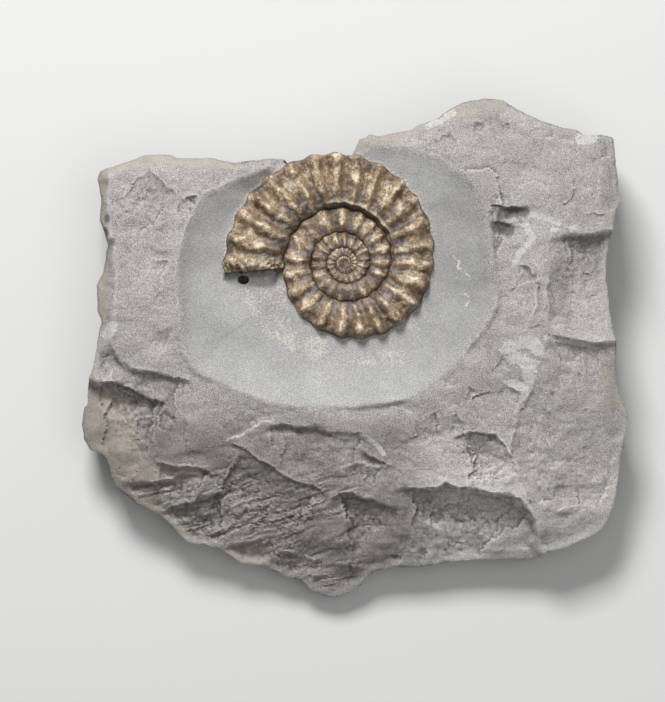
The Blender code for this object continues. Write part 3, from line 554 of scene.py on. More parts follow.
# Broken ledges as drop, breadth of the broken face and lip; the face lies to the right of the lip's way
LEDGES = [
    (2.2, 3.5, [(-93.5, 4), (-92, 0), (-90, -4), (-87.5, -6.8), (-85, -7.3), (-80, -7.5), (-77, -8.3),
                (-73, -9.5), (-70, -10.2), (-66, -11), (-62, -11.8)]),
    (3.4, 4.0, [(-100, -12), (-94, -11.8), (-90, -13), (-85, -15), (-80, -17.5), (-76, -19.5), (-70, -20.6)]),
    (1.5, 1.5, [(-77, -25.5), (-73, -22.5), (-70, -20.5)]),
    (1.3, 2.0, [(-84.5, -25.3), (-81, -25.5), (-78, -26)]),
    (2.8, 2.5, [(-78, -43), (-72, -44.5), (-65, -45), (-60, -45.2), (-57, -46), (-53, -48)]),
    (1.8, 2.0, [(-92, -53), (-87, -51), (-83, -50.7), (-79, -51), (-75, -50.5), (-70, -49.5), (-67, -48),
                (-60, -47.8)]),
    (2.6, 2.5, [(-78, -63.5), (-72, -61), (-67, -60), (-62, -58), (-58, -56), (-54, -55), (-48, -54.5)]),
    (1.4, 1.5, [(-72, -67.5), (-65, -66), (-58, -64), (-50, -62.5)]),
    (1.2, 1.2, [(-70, -70), (-62, -69), (-55, -67)]),
    (1.3, 1.2, [(-60, -74.5), (-54, -71), (-48, -69)]),
    (2.6, 2.2, [(-52, -77), (-48, -76), (-42, -76), (-37, -75), (-31, -73)]),
    (1.7, 1.6, [(-32, -78), (-24, -78.5), (-18, -81), (-10, -81)]),
    (1.2, 1.0, [(-5, -84), (6, -85)]),
    (1.0, 1.0, [(-20, -88), (-8, -88)]),
    (1.7, 3.2, [(-35, -30), (-32, -28.8), (-29, -28.2), (-26, -28.3), (-22, -29.5), (-18, -29), (-15, -29.5),
                (-13, -31), (-10, -31.8), (-5, -31.7), (0, -31.8), (2, -31.5), (4, -32.5), (7, -34.5)]),
    (1.3, 1.4, [(-31, -26.6), (-36, -28), (-39, -30), (-42, -32), (-45, -33), (-50, -34.8)]),
    (3.4, 7.0, [(-49, -35), (-44, -37), (-40, -39), (-35, -43), (-30, -46), (-25, -49.5), (-20, -51),
                (-14, -53.5), (-10, -55.5)]),
    (2.4, 2.5, [(3, -38), (5, -40), (8, -41), (10, -42), (13, -43.5), (17, -45)]),
    (0.9, 1.5, [(-5, -45), (0, -43.5), (3, -43), (7, -44.5)]),
    (3.2, 3.5, [(-10, -58), (-8, -56.5), (-6, -55), (-3, -54.7), (0, -55.3), (3, -56.5), (7, -57.5),
                (10, -59), (13, -60), (17, -60.2)]),
    (3.6, 5.5, [(19, -52), (21, -53.2), (25, -53.3), (30, -53), (33, -52), (35, -50.5), (38, -51.5),
                (40, -53), (43, -52.7), (46, -53), (50, -54), (54, -55), (58, -55.2), (61, -55.5), (63, -57),
                (66, -60), (68, -63), (70, -66)]),
    (1.1, 1.0, [(17, -71), (24, -73)]),
    (1.0, 1.0, [(25, -76), (29, -76.5)]),
    (1.0, 1.0, [(13, -79), (20, -81)]),
    (3.2, 6.0, [(36, -35), (40, -32.5), (45, -31.3), (50, -31.5), (55, -33), (58, -36.5), (61, -42),
                (63.5, -50)]),
    (1.2, 1.0, [(28, -24.5), (32, -23.5)]),
    (1.3, 1.2, [(34, -25), (39, -25), (42, -27.5), (45, -29.5)]),
    (1.1, 0.5, [(42.5, -13.5), (48, -16)]),
    (0.9, 1.0, [(55.5, 0), (60, -5), (61, -9)]),
    (1.3, 1.2, [(57, -12), (61, -14.5), (66, -17)]),
    (1.4, 3.5, [(69, -64), (66, -56), (63, -50), (60, -42), (60, -35), (62, -27), (65, -20), (69, -12)]),
    (1.8, 4.0, [(73, 7), (80, 5), (86, 3.8), (92, 3), (97, 3.2), (100, 4)]),
    (2.1, 3.5, [(78, 43), (79, 43.5), (84, 44), (90, 44.5), (97, 45), (99, 44.5)]),
    (1.1, 4.0, [(73, 6), (74.5, 15), (73.5, 24), (75, 33)]),
    (2.2, 1.5, [(52.5, 56), (56, 55.8), (62, 55.4), (67, 54.3)]),
    (2.2, 1.5, [(51.5, 49.5), (55, 50), (58, 48.8), (62, 47)]),
    (1.5, 1.2, [(60, 33.3), (65, 32.5), (68, 30), (70, 28), (70, 26.5), (73, 26.3)]),
    (1.0, 1.5, [(68, 28), (69.3, 24), (69.5, 20), (69, 15), (67, 12)]),
    (1.9, 1.5, [(-68, 58), (-65.5, 58), (-64, 59), (-62, 59.3), (-60, 59), (-57.5, 58.3)]),
    (1.0, 1.0, [(-65, 54), (-60, 56)]),
    (1.3, 1.2, [(-78, 35), (-72, 34.5), (-69.5, 32.5)]),
    (0.9, 0.6, [(-68.5, 7.5), (-70, 6), (-72, 2), (-72.5, -1)]),
    (1.9, 6.0, [(-80, 71), (-74, 65), (-69, 61), (-66, 58.5)]),
    (0.9, 2.0, [(-80, -28), (-78, -33), (-78, -37), (-79, -40)]),
    (1.0, 0.8, [(36, 84.5), (37.5, 82.5), (40, 81)]),
    (1.0, 0.8, [(45.5, 88), (48, 87.6), (50.5, 87)]),
    (1.4, 2.0, [(48.5, 60.3), (51, 60.4), (56, 60.5), (60, 60)]),
    (1.3, 5.0, [(98, -62), (94, -61), (90, -59.5), (85, -60), (80, -62), (75, -64)]),
]
CLEAR_OF_EDGE = 1.3
LIP_SHARE = 0.1
STEP_SHARE = 0.22
FACE_WIDENED = 1.7

# Tilted faces and ridges that the rock breaks into, as size, height, seed and stretch
BROAD_FACES = [(17.0, 2.2, 40, (0.9, 1.1, 1.0)), (8.0, 1.0, 41, (0.8, 1.2, 1.0))]
SMALL_FACES = [(3.6, 1.0, 42, (0.8, 1.2, 1.0)), (1.7, 0.5, 45, (0.8, 1.2, 1.0))]
SIDE_FACES = [(9.0, 2.6, 51, (0.5, 0.5, 1.8)), (3.6, 1.3, 52, (0.5, 0.5, 1.6))]
BEDDING_LENGTH = 24.0
BEDDING_STEP = 1.5
LEFT_BEDDING_TURN = 17
LEFT_BEDDING_HEIGHT = 0.6
RIGHT_BEDDING_TURN = -4
RIGHT_BEDDING_HEIGHT = 0.16

# Where the rock is broken into small chips, as place, reach and strength, and how much it is elsewhere
CHIPPED_ELSEWHERE = 0.3
CHIPPED = [
    (50, -42, 13, 0.6), (-15, -36, 20, 0.3), (-42, -31, 10, 0.3), (-25, -66, 22, 0.1), (-60, -64, 16, 0.1),
    (18, -44, 14, 0.4), (-86, -15, 9, 0.4), (-82, -22, 8, 0.3), (62, 48, 10, 0.3), (30, -28, 9, 0.4),
]

# Marks on the rock, each as half its breadth and its line
WHITE_MARKS = [
    (2.6, [(59, 1), (63, 2.5), (68, 3), (70.5, 0)]), (2.6, [(62, -3), (67, -6), (67, -10)]),
    (1.6, [(60, -12.5), (65, -14.5)]), (0.6, [(55.5, 0), (60, -5)]), (0.6, [(57, -12), (66, -17)]),
    (1.3, [(67, 52), (72, 51), (78, 49)]), (0.9, [(75.5, 46), (77, 46)]), (0.9, [(83, 47), (85, 47)]),
    (1.2, [(66, 47), (68, 43), (66, 40), (63, 37), (61, 33)]), (2.4, [(87, 80.5), (91, 81.5)]),
    (1.2, [(28, 85.5), (33, 88), (38, 91)]), (2.2, [(-95, 6), (-93, 9)]),
    (0.45, [(-49, -34.5), (-45, -33), (-42, -32), (-39, -30), (-36, -28), (-31, -27)]),
    (0.8, [(-8, -32.8), (-4, -33), (0, -33.5), (3, -33), (6, -34.5), (9, -37), (11, -40)]),
    (0.6, [(-5, -45), (0, -43.5), (3, -43), (7, -44.5), (12, -44.5)]), (0.4, [(14, -21.5), (22, -24)]),
    (0.35, [(38, 36), (40, 34), (39.5, 31.5), (42, 30), (44, 28)]), (0.3, [(41, 22), (44, 20), (43, 17)]),
    (0.55, [(-50, 30), (-49.6, 36), (-49, 42), (-47.5, 45.5), (-45, 50), (-43.2, 53)]),
    (0.55, [(-40, 59.3), (-37, 62), (-34, 65), (-30, 68.4), (-27, 71)]),
    (0.9, [(73, 5), (80, 3.6), (90, 1.8)]),
]
BUFF_MARKS = [
    (3.0, [(-99, 68), (-93, 71), (-75, 74), (-47, 72)]), (3.0, [(-98.5, 66), (-99, 45), (-98, 15)]),
    (9.0, [(-97, -24), (-93, -34), (-88, -45)]), (3.0, [(-85, -47.5), (-62, -48)]),
    (2.0, [(-102, 8), (-102, -10)]), (4.0, [(-47, -80), (-36, -80)]), (2.8, [(1, 79), (12, 82), (24, 85)]),
    (2.6, [(38, 90), (47, 94), (56, 95.5)]), (6.0, [(-82, -60), (-70, -72)]), (3.0, [(98, -10), (101, -20)]),
]
# The first two dark marks are painted shade in the hollows under two small ledges; the rest are small dark
# spots.
DARK_MARKS = [
    (1.9, [(56, 52.2), (61, 52.8), (65, 53)]), (2.5, [(54.5, 47.3), (58.5, 46.2)]),
    (1.0, [(-95, 51), (-95, 50)]), (1.2, [(-96, 46), (-95.6, 45)]), (1.0, [(-93, 42), (-93, 41)]),
    (0.5, [(75.8, -16.5), (75.9, -16.7)]),
]
SHELL_TRACES = [
    (5.5, [(-38, 21), (-34, 13), (-25, 5), (-14, 0)]), (3.0, [(0, -3), (18, -3)]),
    (4.0, [(-28, 22), (-30, 12)]), (3.5, [(-39, 22), (-31, 21)]),
]


def resample(line, step):
    """Points at even steps along a line, its two ends kept."""
    line = np.asarray(line, float)
    lengths = np.concatenate([[0.0], np.cumsum(np.linalg.norm(np.diff(line[:, :2], axis=0), axis=1))])
    count = max(int(round(lengths[-1] / step)), 1) + 1
    places = np.linspace(0.0, lengths[-1], count)
    return np.stack([np.interp(places, lengths, line[:, k]) for k in range(line.shape[1])], axis=1)


def distance_to(points, line):
    """Distance of each point to a line, its side (above 0 to the left), and how far along it meets it."""
    points = np.asarray(points, float)[:, :2]
    line = np.asarray(line, float)[:, :2]
    best = np.full(len(points), 1e9)
    side = np.zeros(len(points))
    place = np.zeros(len(points))
    passed = 0.0
    for start, end in zip(line[:-1], line[1:]):
        way = end - start
        length = np.linalg.norm(way)
        away = points - start
        along = np.clip(away @ way / max(way @ way, 1e-9), 0.0, 1.0)
        distance = np.linalg.norm(away - along[:, None] * way, axis=1)
        nearer = distance < best
        best = np.where(nearer, distance, best)
        side = np.where(nearer, np.sign(way[0] * away[:, 1] - way[1] * away[:, 0]), side)
        place = np.where(nearer, passed + along * length, place)
        passed += length
    return best, side, place


def inside_ring(points, ring):
    """Whether each point lies inside a closed ring."""
    points = np.asarray(points, float)
    ring = np.asarray(ring, float)[:, :2]
    odd = np.zeros(len(points), bool)
    for start, end in zip(ring, np.roll(ring, -1, axis=0)):
        if start[1] == end[1]:
            continue
        between = (start[1] > points[:, 1]) != (end[1] > points[:, 1])
        cut = start[0] + (points[:, 1] - start[1]) * (end[0] - start[0]) / (end[1] - start[1])
        odd ^= between & (points[:, 0] < cut)
    return odd


def chance(points, size, seed, octaves=3):
    """Smooth chance between about -1 and 1 at each point, with lumps of that size."""
    shift = Vector((seed * 13.7, seed * 5.1, seed * 9.3))
    found = [noise.fractal(Vector(p) / size + shift, 1.0, 2.0, octaves) for p in points.tolist()]
    return np.array(found)


# Each small face's tilt comes from noise_vector, whose seed is the clock unless it is set
noise.seed_set(SEED)


def facets(points, size, seed, stretch=(1.0, 1.0, 1.0)):
    """Height of flat, tilted faces that meet in creases as broken rock shows, each about that size."""
    scaled = points * (np.array(stretch) / size) + seed * 7.3
    found = np.empty(len(points))
    for i, p in enumerate(scaled.tolist()):
        place = Vector(p)
        best = -9.0
        for middle in noise.voronoi(place)[1]:
            tilt = noise.noise_vector(middle * 3.7 + Vector((0.5, 0.3, 0.9)))
            away = place - middle
            best = max(best, tilt.dot(away) + 0.3 * tilt.x - 0.7 * away.length_squared)
        found[i] = best
    return found


def faceted(points, layers):
    """The heights of several layers of such faces, added up."""
    return sum(facets(points, size, seed, stretch) * height for size, height, seed, stretch in layers)


def merged_copy(node):
    """A node's mesh with its loose triangles joined, in millimetres."""
    form = bmesh.new()
    form.from_mesh(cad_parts[node].data)
    bmesh.ops.remove_doubles(form, verts=form.verts, dist=0.01 * MM)
    bmesh.ops.scale(form, vec=(1 / MM, 1 / MM, 1 / MM), verts=form.verts)
    form.normal_update()
    return form


class Block:
    """The frame's block as it is read here: its outline from above, its upper side and its sides."""

    def __init__(self):
        form = merged_copy("matrix")
        up = [face for face in form.faces if face.normal.z > 1e-4]
        keep = {edge for face in up for edge in face.edges
                if sum(other.normal.z > 1e-4 for other in edge.link_faces) == 1}
        start = max((v for edge in keep for v in edge.verts), key=lambda v: tuple(v.co))
        ring = [start]
        while True:
            onward = [edge for edge in ring[-1].link_edges if edge in keep]
            if not onward:
                break
            keep.discard(onward[0])
            ring.append(onward[0].other_vert(ring[-1]))
            if ring[-1] == start:
                ring.pop()
                break
        self.ring = [tuple(v.co) for v in ring]
        corners = [v.co.copy() for v in form.verts]
        self.upper = BVHTree.FromPolygons(corners, [[v.index for v in face.verts] for face in up])
        self.whole = BVHTree.FromBMesh(form)
        form.free()

    def height(self, x, y):
        """Height of the upper side, or of the nearest place on it."""
        found = self.upper.ray_cast(Vector((x, y, 200.0)), Vector((0.0, 0.0, -1.0)))[0]
        if found is None:
            found = self.upper.find_nearest(Vector((x, y, 40.0)))[0]
        return found.z

    def side(self, angle, height):
        """How far out the side lies at a height, in one direction from the middle."""
        way = Vector((math.cos(angle), math.sin(angle), 0.0))
        found = self.whole.ray_cast(way * 300.0 + Vector((0, 0, height)), -way)[0]
        return math.hypot(found.x, found.y)


block = Block()


def round_the_coil(points):
    """The angle at which each point lies round the coil, in degrees from -180 to 180."""
    return np.degrees(np.arctan2(points[:, 1] - COIL_CENTRE[1], points[:, 0] - COIL_CENTRE[0]))


def low_at(points):
    """Height at which the rock meets the shell in each point's direction."""
    return contact_height(round_the_coil(points))


def seat_lines():
    """The rock's line round the shell, its foot in the recess, and where the shell overhangs the edge."""
    ring = [shell_edge[0]]
    for point in shell_edge[1:]:
        if min(math.dist(point[:2], ring[-1][:2]), math.dist(point[:2], ring[0][:2])) > SEAT_STEP:
            ring.append(point)
    ring = np.array(ring)
    if np.sum(ring[:, 0] * np.roll(ring[:, 1], -1) - ring[:, 1] * np.roll(ring[:, 0], -1)) > 0:
        ring = ring[::-1]
    way = np.roll(ring, -1, axis=0) - np.roll(ring, 1, axis=0)
    out = np.stack([-way[:, 1], way[:, 0]], axis=1)
    out /= np.linalg.norm(out, axis=1)[:, None]
    angle = round_the_coil(ring)
    radius = np.hypot(ring[:, 0] - COIL_CENTRE[0], ring[:, 1] - COIL_CENTRE[1])
    open_end = (np.abs(angle % 360.0 - OPEN_END_ANGLE) < 0.6) & (radius > COIL_RADIUS[8] + 0.4)
    seat = ring.copy()
    seat[:, :2] += out * SEAT_GAP
    seat[:, 2] += np.where(open_end, -PLUG_BELOW_SHELL, LAP_ON_SHELL)
    foot = ring.copy()
    foot[:, :2] += out * (SEAT_GAP - RECESS_LEAN)
    foot[:, 2] = RECESS_FLOOR
    over = (angle > OVER_EDGE[0]) & (angle < OVER_EDGE[1])
    first = next(i for i in range(len(over)) if over[i - 1] and not over[i])
    order = [(first + i) % len(ring) for i in range(int(np.sum(~over)))]
    longer = [order[0] - 1] + order + [(order[-1] + 1) % len(ring)]
    return seat[order], foot[longer]


def near_open_top(points):
    """Whether each point lies by the place where the shell reaches over the block's edge."""
    return (np.abs(points[:, 0] - COIL_CENTRE[0]) < OPEN_TOP_HALF_WIDTH) & (points[:, 1] > OPEN_TOP_ABOVE)


def outline_lines(seat, foot):
    """The block's edge from above, roughened inwards, from the shell's left round to its right."""
    ring = np.array(block.ring)
    if np.sum(ring[:, 0] * np.roll(ring[:, 1], -1) - ring[:, 1] * np.roll(ring[:, 0], -1)) < 0:
        ring = ring[::-1]
    beside = near_open_top(ring)
    low = beside & (np.abs(ring[:, 2] - RECESS_FLOOR) < 0.5)
    ring = ring[low | ~beside | (ring[:, 2] > LOW_EDGE_BELOW)]
    low = (ring[:, 2] < LOW_EDGE_BELOW) & near_open_top(ring)
    first = next(i for i in range(len(low)) if low[i - 1] and not low[i])
    ring = np.roll(ring, -first, axis=0)
    low = np.roll(low, -first)
    under = ring[low]
    edge = ring[~low]
    left = [*seat[-1][:2], edge[0][2]]
    right = [*seat[0][:2], edge[-1][2]]
    edge = resample(np.vstack([[left], edge[1:-1], [right]]), OUTLINE_STEP)
    way = np.gradient(edge[:, :2], axis=0)
    inward = np.stack([-way[:, 1], way[:, 0]], axis=1)
    inward /= np.linalg.norm(inward, axis=1)[:, None]
    held = smooth_step(0.0, 6.0, np.minimum(np.arange(len(edge)), np.arange(len(edge))[::-1]))
    depth = 0.15 + 0.35 * np.abs(chance(edge, 5.0, 3)) + 0.5 * np.abs(facets(edge * (1, 1, 0), 4.0, 5))
    edge[:, :2] += inward * (depth * held)[:, None]
    edge[:, 2] += chance(edge, 4.0, 8) * 0.3 * held
    under = resample(np.vstack([[foot[0]], under[1:-1], [foot[-1]]]), OUTLINE_STEP)
    return edge, under


class Net:
    """Points with heights and the lines between them, triangulated as seen from above."""

    def __init__(self):
        self.points = []
        self.lines = []

    def add_line(self, line, closed=False):
        """Add a line of points and give their numbers."""
        first = len(self.points)
        self.points += [tuple(p) for p in line]
        numbers = list(range(first, len(self.points)))
        self.lines += list(zip(numbers, numbers[1:]))
        if closed:
            self.lines.append((numbers[-1], numbers[0]))
        return numbers

    def triangles(self, ring):
        """Places and triangles inside a closed ring, and each added point's number among the places."""
        flat = [Vector(p[:2]) for p in self.points]
        places, _, faces, sources, _, _ = delaunay_2d_cdt(flat, self.lines, [ring], 1, 1e-6)
        number = np.full(len(self.points), -1)
        for i, source in enumerate(sources):
            number[source] = i
        return np.array([tuple(place) for place in places]), np.array(faces), number


def scattered_grid(step, generator):
    """Points on a loose grid of triangles over the whole block."""
    low = np.min(block.ring, axis=0)
    high = np.max(block.ring, axis=0)
    rows = np.arange(low[1], high[1], step * 0.87)
    columns = np.arange(low[0], high[0], step)
    x, y = np.meshgrid(columns, rows)
    x = x + (np.arange(len(rows)) % 2)[:, None] * step / 2
    points = np.stack([x.ravel(), y.ravel()], axis=1)
    return points + generator.uniform(-GRID_SCATTER, GRID_SCATTER, points.shape) * step


def nearest(points, lines):
    """Distance from each point to the nearest of many line points, and that point's number."""
    tree = KDTree(len(lines))
    for i, p in enumerate(lines):
        tree.insert((p[0], p[1], 0.0), i)
    tree.balance()
    found = [tree.find((p[0], p[1], 0.0)) for p in points]
    return np.array([f[2] for f in found]), np.array([f[1] for f in found])


def smoothed(heights, faces, share, times):
    """Heights evened out with their neighbours', each point by its own share."""
    edges = np.vstack([faces[:, [0, 1]], faces[:, [1, 2]], faces[:, [2, 0]]])
    ends = np.concatenate([edges[:, 0], edges[:, 1]])
    others = np.concatenate([edges[:, 1], edges[:, 0]])
    count = np.maximum(np.bincount(ends, minlength=len(heights)), 1)
    for _ in range(times):
        mean = np.bincount(ends, heights[others], len(heights)) / count
        heights = heights + share * (mean - heights)
    return heights


def roughened(line, amount, size, seed):
    """A line with its points moved aside by chance, its ends less than its middle."""
    flat = np.c_[line[:, :2], np.zeros(len(line))]
    steps = np.minimum(np.arange(len(line)), np.arange(len(line))[::-1])
    aside = np.stack([chance(flat, size, s, 2) + 0.5 * chance(flat, size * 0.4, s + 2, 2)
                      for s in (seed, seed + 1)], axis=1)
    return line[:, :2] + aside * amount * smooth_step(0.0, 4.0, steps)[:, None]


def ledge_relief(points, tracks):
    """What the ledges add to the height (lip, broken face and the way back up), and how broken they are."""
    relief = np.zeros(len(points))
    broken = np.zeros(len(points))
    flat = points * (1, 1, 0)
    wobble = 1.0 + 0.3 * chance(flat, 6.0, 49) + 0.25 * chance(flat, 1.8, 48)
    sway = np.stack([chance(flat, 5.0, s) for s in (56, 57)], axis=1)
    for (drop, breadth, _), track in zip(LEDGES, tracks):
        run = 3.0 + 2.0 * breadth
        reach = breadth + run * 3.0
        box = (points[:, :2] > track.min(axis=0) - reach) & (points[:, :2] < track.max(axis=0) + reach)
        near = np.flatnonzero(box.all(axis=1))
        if not len(near):
            continue
        away, side, _ = distance_to(points[near], track)
        bent = points[near, :2] + sway[near] * np.minimum(away * 0.4, 2.2)[:, None]
        away, _, place = distance_to(bent, track)
        length = np.sum(np.linalg.norm(np.diff(track, axis=0), axis=1))
        ends = np.minimum(place, length - place)
        fade = np.minimum(min(5.0, length * 0.35) + away * 0.8, length * 0.5)
        drop = drop * smooth_step(0.0, 1.0, ends / fade) * (0.55 + 0.45 * wobble[near])
        face = (FACE_WIDENED * breadth + 0.6) * wobble[near]
        hollow = 1.0 - (1.0 - np.minimum(away / face, 1.0)) ** 1.7
        hollow = hollow * (1.0 - STEP_SHARE) + STEP_SHARE * smooth_step(0.0, 0.9, away)
        below = hollow * np.exp(-np.maximum(away - face, 0.0) / run)
        above = LIP_SHARE * drop * np.exp(-away / (1.0 + 0.3 * breadth))
        high = (side > 0) | (away < 0.02)
        relief[near] += np.where(high, above, LIP_SHARE * drop * np.exp(-away / 0.5) - drop * below)
        on_face = (~high) * drop * 0.2 * (1.0 - smooth_step(face * 0.7, face * 1.2, away))
        broken[near] = np.maximum(broken[near], on_face)
    return relief, broken


def marked(points, marks):
    """How strongly each point lies in a set of marks, from 0 outside to 1 in their middle."""
    found = np.zeros(len(points))
    for breadth, line in marks:
        away = distance_to(points, line)[0]
        found = np.maximum(found, 1.0 - smooth_step(breadth * 0.75, breadth * 1.2 + 0.4, away))
    return found


def striations(points, turn, seed):
    """Long low ridges of bedding laid bare, running at an angle to the block's width."""
    way = np.array([math.cos(turn), math.sin(turn)])
    along = points[:, :2] @ way
    across = points[:, :2] @ np.array([-way[1], way[0]]) + chance(points, 14.0, seed + 3) * 1.5
    bent = np.stack([along / BEDDING_LENGTH, across / BEDDING_STEP, np.zeros(len(points))], axis=1)
    return 0.5 - 2.0 * np.abs(chance(bent, 1.0, seed))


def make_block():
    """The block's mesh with its attributes for the finish."""
    generator = np.random.default_rng(SEED)
    seat, foot = seat_lines()
    edge, under = outline_lines(seat, foot)
    rim = resample(BOWL_RIM, BROKEN_GRID_STEP)
    rim += np.stack([chance(np.c_[rim, rim[:, 0] * 0], 3.0, s) for s in (21, 22)], axis=1) * 0.25
    turns = np.linspace(0, 2 * np.pi, 22, endpoint=False)
    hole = np.array(HOLE_CENTRE) + np.stack([np.cos(turns), np.sin(turns)], axis=1) * HOLE_RADIUS
    deep = np.array(HOLE_CENTRE) + (hole - np.array(HOLE_CENTRE)) * 0.8
    tracks = [roughened(resample(line, 0.6), 0.9, 4.0, 60 + i) for i, (_, _, line) in enumerate(LEDGES)]
    net = Net()
    seat_numbers = net.add_line(seat)
    foot_numbers = net.add_line(foot)
    edge_numbers = net.add_line(edge[1:-1])
    under_numbers = net.add_line(under[1:-1])
    ring = ([seat_numbers[-1]] + edge_numbers + [seat_numbers[0], foot_numbers[0]] + under_numbers
            + [foot_numbers[-1]])
    net.lines += [(ring[i - 1], ring[i]) for i in range(len(ring))]
    fixed_count = len(net.points)
    rim_numbers = net.add_line([(x, y, 0.0) for x, y in rim])
    net.add_line([(x, y, 0.0) for x, y in hole], closed=True)
    net.add_line([(x, y, 0.0) for x, y in deep], closed=True)
    for track in tracks:
        clear = inside_ring(track, block.ring) & (nearest(track, edge)[0] > CLEAR_OF_EDGE)
        for run in np.split(np.arange(len(track)), np.flatnonzero(np.diff(clear.astype(int))) + 1):
            if clear[run[0]] and len(run) > 1:
                net.add_line([(x, y, 0.0) for x, y in track[run]])
    lines = np.array(net.points)
    bowl_ring = np.array(BOWL_RIM)

    grids = []
    for step, smooth in ((SMOOTH_GRID_STEP, True), (BROKEN_GRID_STEP, False)):
        grid = scattered_grid(step, generator)
        grid = grid[inside_ring(grid, bowl_ring) == smooth]
        grid = grid[~inside_ring(grid, seat[::4])]
        away, _ = nearest(grid, lines)
        grids.append(grid[away > step * CLEAR_OF_LINES])
    net.points += [(x, y, 0.0) for x, y in np.vstack(grids)]
    places, faces, number = net.triangles(ring)
    given = np.array(net.points)
    points = np.c_[places, np.zeros(len(places))]
    fixed = np.zeros(len(points), bool)
    fixed[number[:fixed_count]] = True
    points[number[:fixed_count], 2] = given[:fixed_count, 2]
    ring = number[ring]
    rim_numbers = number[rim_numbers]

    away, _ = nearest(points, given[:fixed_count])
    free = smooth_step(0.0, 4.0, away)
    flat = points * (1, 1, 0)
    warp = np.stack([chance(flat, 7.0, s) for s in (31, 32)], axis=1) * (WARP * free)[:, None]
    read = points[:, :2] + warp
    heights = np.array([block.height(x, y) for x, y in read])
    heights = np.where(fixed, points[:, 2], heights)
    heights = smoothed(heights, faces, np.where(fixed, 0.0, 0.5), 2)

    bowl = inside_ring(points, bowl_ring) & ~fixed
    bowl[rim_numbers] = False
    to_rim, at_rim = nearest(points, rim)
    to_seat, _ = nearest(points, seat)
    rim_height = heights[rim_numbers][at_rim]
    low = low_at(points)
    curve = BOWL_CURVE - 0.7 * smooth_step(44.0, 58.0, points[:, 1])
    hollow = low + (rim_height - low) * (to_seat / (to_seat + to_rim + 1e-6)) ** curve
    at_open_end = (seat[:, 0] < PLUG_RIGHT) & (seat[:, 1] > PLUG_SPAN[0]) & (seat[:, 1] < PLUG_SPAN[1])
    open_row = seat[at_open_end & (np.abs(seat[:, 2] - low_at(seat)) > 0.3)]
    plug_ring = np.vstack([PLUG_FOOT, open_row[np.argsort(-open_row[:, 0]), :2]])
    in_plug = inside_ring(points, plug_ring)
    to_row, at_row = nearest(points, open_row)
    to_foot = distance_to(points, PLUG_FOOT)[0]
    share = to_row / (to_row + to_foot + 1e-6)
    plug = open_row[at_row, 2] + (hollow - open_row[at_row, 2]) * smooth_step(0.0, 1.1, share)
    hollow = np.where(in_plug, plug, hollow)
    heights = np.where(bowl, hollow, heights)

    rough = free * ~bowl * smooth_step(0.2, 2.0, to_rim)
    shape = np.c_[points[:, :2], heights]
    chips = np.full(len(points), CHIPPED_ELSEWHERE)
    for x, y, reach, strength in CHIPPED:
        chips += strength * np.exp(-((points[:, 0] - x) ** 2 + (points[:, 1] - y) ** 2) / reach ** 2)
    relief, broken = ledge_relief(points, tracks)
    chips += broken
    broad = faceted(shape, BROAD_FACES)
    small = faceted(shape, SMALL_FACES)
    slope = smooth_step(-40.0, -52.0, points[:, 1])
    left = smooth_step(12.0, -10.0, points[:, 0])
    on_left = striations(shape, math.radians(LEFT_BEDDING_TURN), 46) * left * LEFT_BEDDING_HEIGHT
    on_right = striations(shape, math.radians(RIGHT_BEDDING_TURN), 47) * (1 - left) * RIGHT_BEDDING_HEIGHT
    bedding = (on_left + on_right) * slope
    heights = heights + rough * (broad + small * chips + relief + bedding
                                 + (0.08 + 0.12 * chips) * chance(shape, 1.5, 43))
    heights = heights + bowl * 0.05 * chance(shape, 6.0, 44) * smooth_step(0.0, 3.0, to_seat)
    in_hole = inside_ring(points, (hole + deep) / 2)
    heights = np.where(in_hole, heights - HOLE_DEPTH, heights)
    heights = np.minimum(heights, HIGHEST)
    points[:, 2] = np.where(fixed, points[:, 2], heights)
    # Raised: how far each point stands above its smoothed neighbours. The finish paints raised edges lighter,
    # partly pale bruising and partly a painted highlight, and paints hollows darker.
    raised = points[:, 2] - smoothed(points[:, 2], faces, np.full(len(points), 0.5), 4)
    raised *= smooth_step(0.5, 2.5, to_seat) * smooth_step(0.3, 1.5, to_rim)
    # Painted shade: the lower slopes and the lower left of the broken rock are painted darker, as shade on
    # faces that turn away from the light.
    slope_shade = (smooth_step(-22.0, -34.0, points[:, 1]) * smooth_step(40.0, 8.0, points[:, 0])
                 + 0.8 * smooth_step(-8.0, -16.0, points[:, 1]) * smooth_step(-62.0, -72.0, points[:, 0]))
    crisp = 0.8 + 3.2 * smooth_step(-14.0, 0.0, points[:, 1])
    at_shell = (to_seat < 0.3) * (points[:, 0] < -26.0) * (points[:, 1] > 36.0)
    # Painted shade: the sloping face under the shell's open end is painted dark, and so is the hole, as the
    # shade that falls there.
    shaded_plug_face = (in_plug | (to_row < 0.1)) * (1.0 - smooth_step(1.8, 3.4, to_row))
    shades = {
        "bowl": bowl * smooth_step(0.0, 1.0, to_rim / crisp),
        "raised": np.clip(0.5 + raised * 1.2, 0.0, 1.0),
        "deep": np.clip(slope_shade, 0.0, 1.0) * (1 - bowl),
        "pale": smooth_step(12.0, 40.0, points[:, 0]) * smooth_step(-30.0, -52.0, points[:, 1]),
        "white": np.maximum(marked(points, WHITE_MARKS), at_shell),
        "buff": marked(points, BUFF_MARKS),
        "dark": np.maximum(marked(points, DARK_MARKS) * 0.8,
                           np.maximum(in_hole * 1.0, shaded_plug_face)),
        "traces": marked(points, SHELL_TRACES),
    }
    return *closed_below(points, faces, ring), shades


